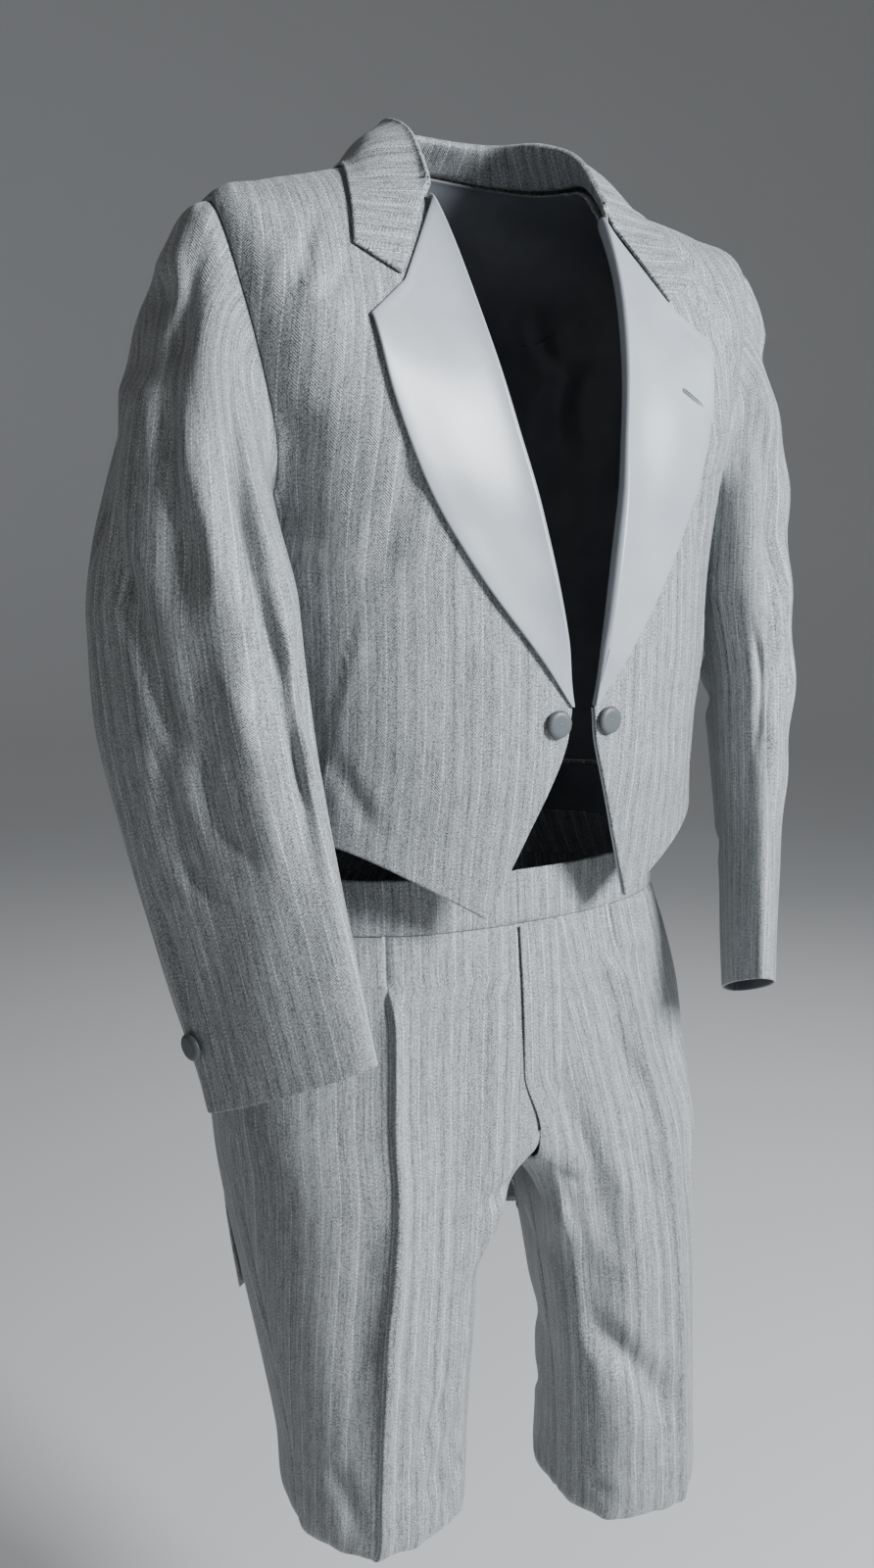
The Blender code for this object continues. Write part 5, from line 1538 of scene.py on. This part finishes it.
        # Folds fade where the cloth turns away, and at the fork, where both legs meet.
        ahead = soft_step((np.abs(out[..., 1]) - 0.25) / 0.45)
        height = creased(chart, LEG_BACK_CREASES if back else LEG_CREASES[side]) * ahead
        height = height + Unevenness(0.07, 0.0010, 61 + 2 * back + (side is Side.LEFT)).at(face)
        height = height * soft_step(np.hypot(face[..., 0], face[..., 2] - self.fork_height) / 0.034)
        # The turned-in end is gathered a little.
        gather = np.sin(angles * 9.0 + 1.3) + 0.7 * np.sin(angles * 15.0 + 0.4) + 0.4 * np.sin(angles * 23.0)
        height = height + self.gather_depth * gather * soft_step((levels - 9.4) / 1.2)
        middle = self.back_middle
        if not back:
            row = chart[self.grain_row]
            middle = int(np.abs(row[:, 0] - value_at(self.crease[side], -row[0, 1])).argmin())
        run = run_across(face)
        across = run - run[:, middle:middle + 1]
        sheet = Sheet(face, out, across, -face[..., 2], TROUSER_CLOTH,
                      (Border.FIRST_COLUMN, Border.LAST_COLUMN, Border.FIRST_ROW), side=side)
        fade = sheet.clear_of(Border.FIRST_ROW, 0.008)
        for border in (Border.FIRST_COLUMN, Border.LAST_COLUMN):
            fade = fade * sheet.clear_of(border, 0.009)
        sheet.push(height * fade)
        past_middle = (levels < 5.0) & (sheet.face[..., 0] < 0.0)
        sheet.face[..., 0] = np.where(past_middle, 0.0, sheet.face[..., 0])
        sheet.face = self.stance(sheet.face, side)
        kind = "back" if back else "front"
        piece = sheet.build(f"trouser_{kind}_cloth_{side.value}", self.finishes.trouser_cloth)
        return dress(piece, f"trouser_{kind}_{side.value}")

    def waistband(self, side: Side) -> Piece:
        """One half of the waistband, from the front opening to the back seam."""
        levels = 0.002 + 0.994 * edged(14, 0.039)[:, None]
        middle = -self.fly_reach if side is Side.LEFT else self.fly_reach + 0.0004
        start = self.angle_at(levels, middle)
        angles = start + (math.pi - 0.002 - start) * edged(90, 0.45)[None, :]
        levels, angles = np.broadcast_arrays(levels, angles)
        out = self.out(angles, np.maximum(levels, 0.01), side)
        face = self.at(angles, levels, side) + out * 0.0008
        sheet = Sheet(face, out, run_across(face), -face[..., 2], self.band_cloth,
                      (Border.LAST_ROW, Border.LAST_COLUMN), side=side)
        sheet.push(Unevenness(0.05, 0.0004, 71).at(face))
        piece = sheet.build(f"waistband_cloth_{side.value}", self.finishes.trouser_cloth)
        return dress(piece, f"waistband_{side.value}")

    def fly(self) -> Piece:
        """Fly lap on the wearer's left front, from the waist seam to its curved foot."""
        down = edged(76, 0.16)[:, None]
        top, foot_row = self.fly_rows
        levels = top + (foot_row - top) * down
        edge = -self.fly_reach * (1.0 - 0.9 * soft_step((down - 0.72) / 0.28))
        foot = np.sqrt(np.clip(1.0 - np.clip((down - 0.66) / 0.34, 0.0, 1.0) ** 2.0, 0.004, 1.0))
        start = self.angle_at(levels, edge)
        end = self.angle_at(levels, edge + (self.fly_width - edge) * foot)
        angles = start + (end - start) * edged(20, 0.036)[None, :]
        levels = np.broadcast_to(levels, angles.shape)
        out = self.out(angles, levels, Side.LEFT)
        face = self.stance(self.at(angles, levels, Side.LEFT) + out * 0.0024, Side.LEFT)
        sheet = Sheet(face, out, run_across(face) - 0.119, -face[..., 2], self.fly_cloth,
                      (Border.LAST_COLUMN, Border.LAST_ROW), 0.0010)
        sheet.push(-0.0014 * soft_step(1.0 - sheet.reach(Border.LAST_COLUMN) / 0.006))
        piece = sheet.build("fly_cloth", self.finishes.trouser_cloth)
        return dress(piece, "fly")

    def build(self) -> None:
        """Make every piece of the trousers."""
        for side in Side:
            self.panel(side, False)
            self.panel(side, True)
            self.waistband(side)
        self.fly()


@dataclass
class CoveredButtons:
    """Satin-covered buttons at the front's break and on the cuffs."""

    finishes: Wardrobe
    profile: Line = ((0.0, 0.90), (0.25, 0.905), (0.48, 0.91), (0.66, 0.90), (0.80, 0.84), (0.91, 0.70),
                     (0.98, 0.50), (1.0, 0.32), (0.97, 0.14), (0.88, 0.03), (0.70, 0.0))
    spokes: int = 48

    def dome(self, name: str, centre: Array, out: Array, side: Side) -> Piece:
        """One button: a low dome with the cloth gathered faintly at its rim.

        Args:
            name: The piece's name.
            centre: Middle of its flat back, on the wearer's left.
            out: The way that it faces.
            side: The wearer's side.
        """
        out, centre = unit(out), np.asarray(centre)
        right = unit(np.cross((0.0, 0.0, 1.0), out))
        up = np.cross(out, right)
        rings = spline(self.profile, np.linspace(0.04, len(self.profile) - 1.0, 26))
        turns = np.linspace(0.0, 2.0 * math.pi, self.spokes, endpoint=False)
        gather = 1.0 + 0.012 * np.sin(turns * 11.0)[None, :] * soft_step((rings[:, :1] - 0.75) / 0.25)
        flat = rings[:, :1] * BUTTON_RADIUS * gather
        around = np.cos(turns)[:, None] * right + np.sin(turns)[:, None] * up
        points = centre + flat[..., None] * around + (rings[:, 1:2] * BUTTON_HEIGHT)[..., None] * out
        cap = centre + out * BUTTON_HEIGHT
        points = mirrored(np.concatenate([points.reshape(-1, 3), [cap, centre]]), side)
        count, faces = self.spokes, []
        for spoke in range(count):
            after = (spoke + 1) % count
            faces.append((len(points) - 2, spoke, after))
            for ring in range(len(rings) - 1):
                faces.append((ring * count + spoke, (ring + 1) * count + spoke, (ring + 1) * count + after,
                              ring * count + after))
            last = (len(rings) - 1) * count
            faces.append((last + spoke, len(points) - 1, last + after))
        if side is Side.RIGHT:
            faces = [face[::-1] for face in faces]
        return make_object(name, points, faces, [self.finishes.button], points[:, [0, 2]])

    def build(self) -> None:
        """Make the four buttons."""
        for side in Side:
            angle, level = COAT.place(*FRONT_BUTTON)
            out = COAT.out(angle, level)
            piece = self.dome(f"front_button_{side.value}", COAT.at(angle, level) + out * 0.0003, out, side)
            dress(piece, f"button_front_{side.value}")
            turn, share = CUFF_BUTTON
            out = SLEEVES.out(turn, share)
            centre = SLEEVES.at(turn, share)
            opposite = SLEEVES.station(np.asarray(turn + math.pi), np.asarray(3.9))
            out = out * np.sign((out * (centre - opposite)).sum())
            piece = self.dome(f"cuff_button_{side.value}", centre + out * 0.0008, out, side)
            dress(piece, f"button_cuff_{side.value}")


@dataclass
class StitchTree:
    """Geometry Nodes tree that lays thread stitches along a line."""

    material: Material
    tree: Tree = field(init=False)

    def __post_init__(self) -> None:
        """Build the tree, with named inputs and a fixed seed."""
        tree = bpy.data.node_groups.new("thread_stitches", "GeometryNodeTree")
        face = tree.interface
        face.new_socket("Geometry", in_out="INPUT", socket_type="NodeSocketGeometry")
        for name, kind, value in (("Stitch pitch", "Float", 0.0026), ("Stitch length", "Float", 0.0018),
                                  ("Thread thickness", "Float", 0.0004), ("Unevenness", "Float", 0.12),
                                  ("Turn", "Float", 0.0), ("Seed", "Int", 7)):
            socket = face.new_socket(name, in_out="INPUT", socket_type=f"NodeSocket{kind}")
            socket.default_value = value
        face.new_socket("Geometry", in_out="OUTPUT", socket_type="NodeSocketGeometry")
        given = add(tree, "NodeGroupInput")
        curve = add(tree, "GeometryNodeMeshToCurve", {0: given.outputs["Geometry"]}).outputs[0]
        evened = add(tree, "GeometryNodeResampleCurve", {0: curve, "Length": given.outputs["Stitch pitch"]},
                     mode="LENGTH").outputs[0]
        bead = add(tree, "GeometryNodeMeshUVSphere", {"Segments": 6, "Rings": 5, "Radius": 0.5}).outputs[0]
        tangent = add(tree, "GeometryNodeInputTangent").outputs[0]
        normal = add(tree, "GeometryNodeInputNormal").outputs[0]
        aligned = add(tree, "FunctionNodeAlignRotationToVector", {"Vector": tangent}, axis="X").outputs[0]
        aligned = add(tree, "FunctionNodeAlignRotationToVector", {"Rotation": aligned, "Vector": normal},
                      axis="Z", pivot_axis="X").outputs[0]
        spin = add(tree, "FunctionNodeAxisAngleToRotation", {"Axis": (0.0, 0.0, 1.0),
                                                             "Angle": given.outputs["Turn"]}).outputs[0]
        turned = add(tree, "FunctionNodeRotateRotation", {"Rotation": aligned, "Rotate By": spin},
                     rotation_space="LOCAL").outputs[0]
        random = add(tree, "FunctionNodeRandomValue", {2: -1.0, 3: 1.0, "Seed": given.outputs["Seed"]},
                     data_type="FLOAT")
        vary = math_of(tree, "MULTIPLY_ADD", random.outputs[1], given.outputs["Unevenness"], 1.0)
        length = math_of(tree, "MULTIPLY", vary, given.outputs["Stitch length"])
        size = add(tree, "ShaderNodeCombineXYZ", {0: length, 1: given.outputs["Thread thickness"],
                                                  2: given.outputs["Thread thickness"]}).outputs[0]
        placed = add(tree, "GeometryNodeInstanceOnPoints", {"Points": evened, "Instance": bead,
                                                            "Rotation": turned, "Scale": size}).outputs[0]
        real = add(tree, "GeometryNodeRealizeInstances", {0: placed}).outputs[0]
        smooth = add(tree, "GeometryNodeSetShadeSmooth", {0: real}).outputs[0]
        finished = add(tree, "GeometryNodeSetMaterial", {0: smooth, "Material": self.material}).outputs[0]
        add(tree, "NodeGroupOutput", {0: finished})
        self.tree = tree

    def sew(self, name: str, lines: Sequence[Array], values: dict[str, float]) -> Piece:
        """Stitches along lines, as a plain mesh.

        Args:
            name: The piece's name.
            lines: Points of each line.
            values: A value for each named input that differs from its default.

        Returns:
            The new object.
        """
        points, edges = [], []
        for line in lines:
            first = len(points)
            points += np.asarray(line).tolist()
            edges += [(first + step, first + step + 1) for step in range(len(line) - 1)]
        mesh = bpy.data.meshes.new(name + "_line")
        mesh.from_pydata(points, edges, [])
        guide = bpy.data.objects.new(name, mesh)
        bpy.context.collection.objects.link(guide)
        modifier = guide.modifiers.new("stitches", "NODES")
        modifier.node_group = self.tree
        for item in self.tree.interface.items_tree:
            if item.item_type == "SOCKET" and item.in_out == "INPUT" and item.name in values:
                modifier[item.identifier] = values[item.name]
        bpy.context.view_layer.update()
        evaluated = guide.evaluated_get(bpy.context.evaluated_depsgraph_get())
        made = bpy.data.meshes.new_from_object(evaluated)
        guide.modifiers.remove(modifier)
        guide.data = made
        made.name = name
        bpy.data.meshes.remove(mesh)
        return guide


@dataclass
class Sewing:
    """Visible stitching: fly, pockets, welt ends and the lapel's buttonhole."""

    finishes: Wardrobe
    trousers: Trousers
    lapels: CollarAndLapels

    def trouser_line(self, stops: Line, side: Side, lift: float) -> Array:
        """Line over a trouser front through stops of x and row number."""
        line = between(spline(stops, np.linspace(0.0, len(stops) - 1.0, 60)), np.linspace(0.0, 1.0, 60))
        angle = self.trousers.angle_at(line[:, 1], line[:, 0])
        points = self.trousers.at(angle, line[:, 1], side) + self.trousers.out(angle, line[:, 1], side) * lift
        return mirrored(self.trousers.stance(points, side), side)

    def build(self) -> None:
        """Sew every line."""
        tree = StitchTree(self.finishes.thread)
        fly = ((0.0215, 1.05), (0.0215, 2.0), (0.0212, 2.9), (0.0205, 3.4), (0.0165, 3.85), (0.0090, 4.15),
               (0.0010, 4.32))
        fly_line = self.trouser_line(fly, Side.LEFT, 0.0020)
        dress(tree.sew("fly_stitching", [fly_line], {"Stitch pitch": 0.0028}))
        pocket = ((0.122, 1.10), (0.136, 2.0), (0.154, 3.3))
        pockets = [self.trouser_line(pocket, side, 0.0004) for side in Side]
        dress(tree.sew("pocket_stitching", pockets, {"Stitch pitch": 0.0028}))
        ends = []
        for low, high in ((WELT[0], WELT[3]), (WELT[1], WELT[2])):
            line = between((low, high), np.linspace(0.06, 0.94, 20))
            line[:, 0] += 0.0015 if low is WELT[0] else -0.0015
            ends.append(COAT.on_front(line[:, 0], line[:, 1], WELT_LIFT))
        piece = tree.sew("welt_stitching", ends, {"Stitch pitch": 0.0021, "Stitch length": 0.0016})
        dress(piece)
        start, end = (np.array(stop) for stop in self.lapels.buttonhole)
        way = unit(end - start)
        over = np.array([-way[1], way[0]])
        turns = np.linspace(0.0, 2.0 * math.pi, 60)
        middle, half = (start + end) / 2.0, float(np.linalg.norm(end - start)) / 2.0
        rim = (middle + way * (half * np.cos(turns))[:, None]
               + over * (0.0011 * np.tanh(4.0 * np.sin(turns)))[:, None])
        loop = COAT.on_front(rim[:, 0], rim[:, 1], LAPEL_CLOTH + OVERLAY_EASE + 0.0006)
        piece = tree.sew("buttonhole_stitching", [loop],
                         {"Stitch pitch": 0.0007, "Stitch length": 0.0022, "Thread thickness": 0.0007,
                          "Turn": math.pi / 2.0, "Unevenness": 0.2})
        dress(piece)


@dataclass
class Studio:
    """Pale floor, soft light and a camera at the photograph's angle."""

    floor_height: float = -1.49
    spokes: int = 96
    camera_place: tuple[float, float, float] = (-0.5818, -0.8985, -0.2325)
    yaw: float = math.radians(32.05)
    pitch: float = math.radians(-10.883)
    roll: float = math.radians(0.394)
    lens: float = 32.89

    def camera(self) -> None:
        """Camera that looks along its yaw and pitch, upright but for a slight roll."""
        level = math.cos(self.pitch)
        ahead = Vector((math.sin(self.yaw) * level, math.cos(self.yaw) * level, math.sin(self.pitch)))
        right = ahead.cross(Vector((0.0, 0.0, 1.0))).normalized()
        up = right.cross(ahead)
        tilted = right * math.cos(self.roll) + up * math.sin(self.roll)
        upright = up * math.cos(self.roll) - right * math.sin(self.roll)
        data = bpy.data.cameras.new("camera")
        data.sensor_fit = "VERTICAL"
        data.sensor_height = 36.0
        data.lens = self.lens
        data.dof.use_dof = False
        made = bpy.data.objects.new("camera", data)
        turned = Matrix((tilted, upright, -ahead)).transposed().to_4x4()
        made.matrix_world = Matrix.Translation(self.camera_place) @ turned
        bpy.context.collection.objects.link(made)
        bpy.context.scene.camera = made

    def light(self, name: str, place: tuple[float, float, float], aim: tuple[float, float, float],
              size: float, power: float, colour: str) -> None:
        """One soft square light.

        Args:
            name: Its name.
            place: Where it stands.
            aim: The point that it faces.
            size: Its side in metres.
            power: Its power in watts.
            colour: Its colour in sRGB hex.
        """
        data = bpy.data.lights.new(name, "AREA")
        data.shape = "SQUARE"
        data.size = size
        data.energy = power
        data.color = linear(colour)[:3]
        made = bpy.data.objects.new(name, data)
        made.location = place
        made.rotation_euler = (Vector(aim) - Vector(place)).to_track_quat("-Z", "Y").to_euler()
        bpy.context.collection.objects.link(made)

    def floor(self) -> None:
        """Wide pale floor, well below the hanging suit."""
        turns = np.linspace(0.0, 2.0 * math.pi, self.spokes, endpoint=False)
        sweep = ((0.6, 0.0), (1.4, 0.0), (3.0, 0.0), (5.0, 0.0), (6.5, 0.05), (7.8, 0.45), (8.8, 1.3),
                 (9.4, 2.5), (9.7, 4.0), (9.8, 5.5))
        points = [(0.0, 0.0, self.floor_height)]
        for radius, rise in sweep:
            points += [(radius * math.cos(turn), radius * math.sin(turn), self.floor_height + rise)
                       for turn in turns]
        faces: list[tuple[int, ...]] = []
        for spoke in range(self.spokes):
            after = (spoke + 1) % self.spokes
            faces.append((0, 1 + spoke, 1 + after))
            for ring in range(len(sweep) - 1):
                low, high = 1 + ring * self.spokes, 1 + (ring + 1) * self.spokes
                faces.append((low + spoke, high + spoke, high + after, low + after))
        make_object("floor", np.array(points), faces, [PaleFloor("pale_floor").build()])

    def build(self) -> None:
        """Set the studio up."""
        self.camera()
        self.floor()
        self.light("key", (1.18, -2.28, 0.78), (0.0, 0.0, -0.42), 0.8, 196.0, "f6faff")
        self.light("fill", (-2.0, -1.6, 0.3), (0.0, 0.0, -0.45), 1.8, 3.0, "fff6ec")
        self.light("back", (1.7, 1.9, 0.9), (0.0, 0.0, -0.40), 1.4, 18.0, "ffffff")
        world = bpy.data.worlds.new("studio")
        world.use_nodes = True
        ground = world.node_tree.nodes["Background"]
        ground.inputs["Color"].default_value = linear("e4e5e6")
        ground.inputs["Strength"].default_value = 0.15
        bpy.context.scene.world = world


def main() -> None:
    """Build the suit and its studio, in order."""
    logging.basicConfig(level=logging.INFO, format="%(message)s")
    finishes = Wardrobe()
    Studio().build()
    CoatBody(finishes).build()
    SleevePair(finishes).build()
    lapels = CollarAndLapels(finishes)
    lapels.build()
    trousers = Trousers(finishes)
    trousers.build()
    CoveredButtons(finishes).build()
    Sewing(finishes, trousers, lapels).build()


if __name__ == "__main__":
    main()
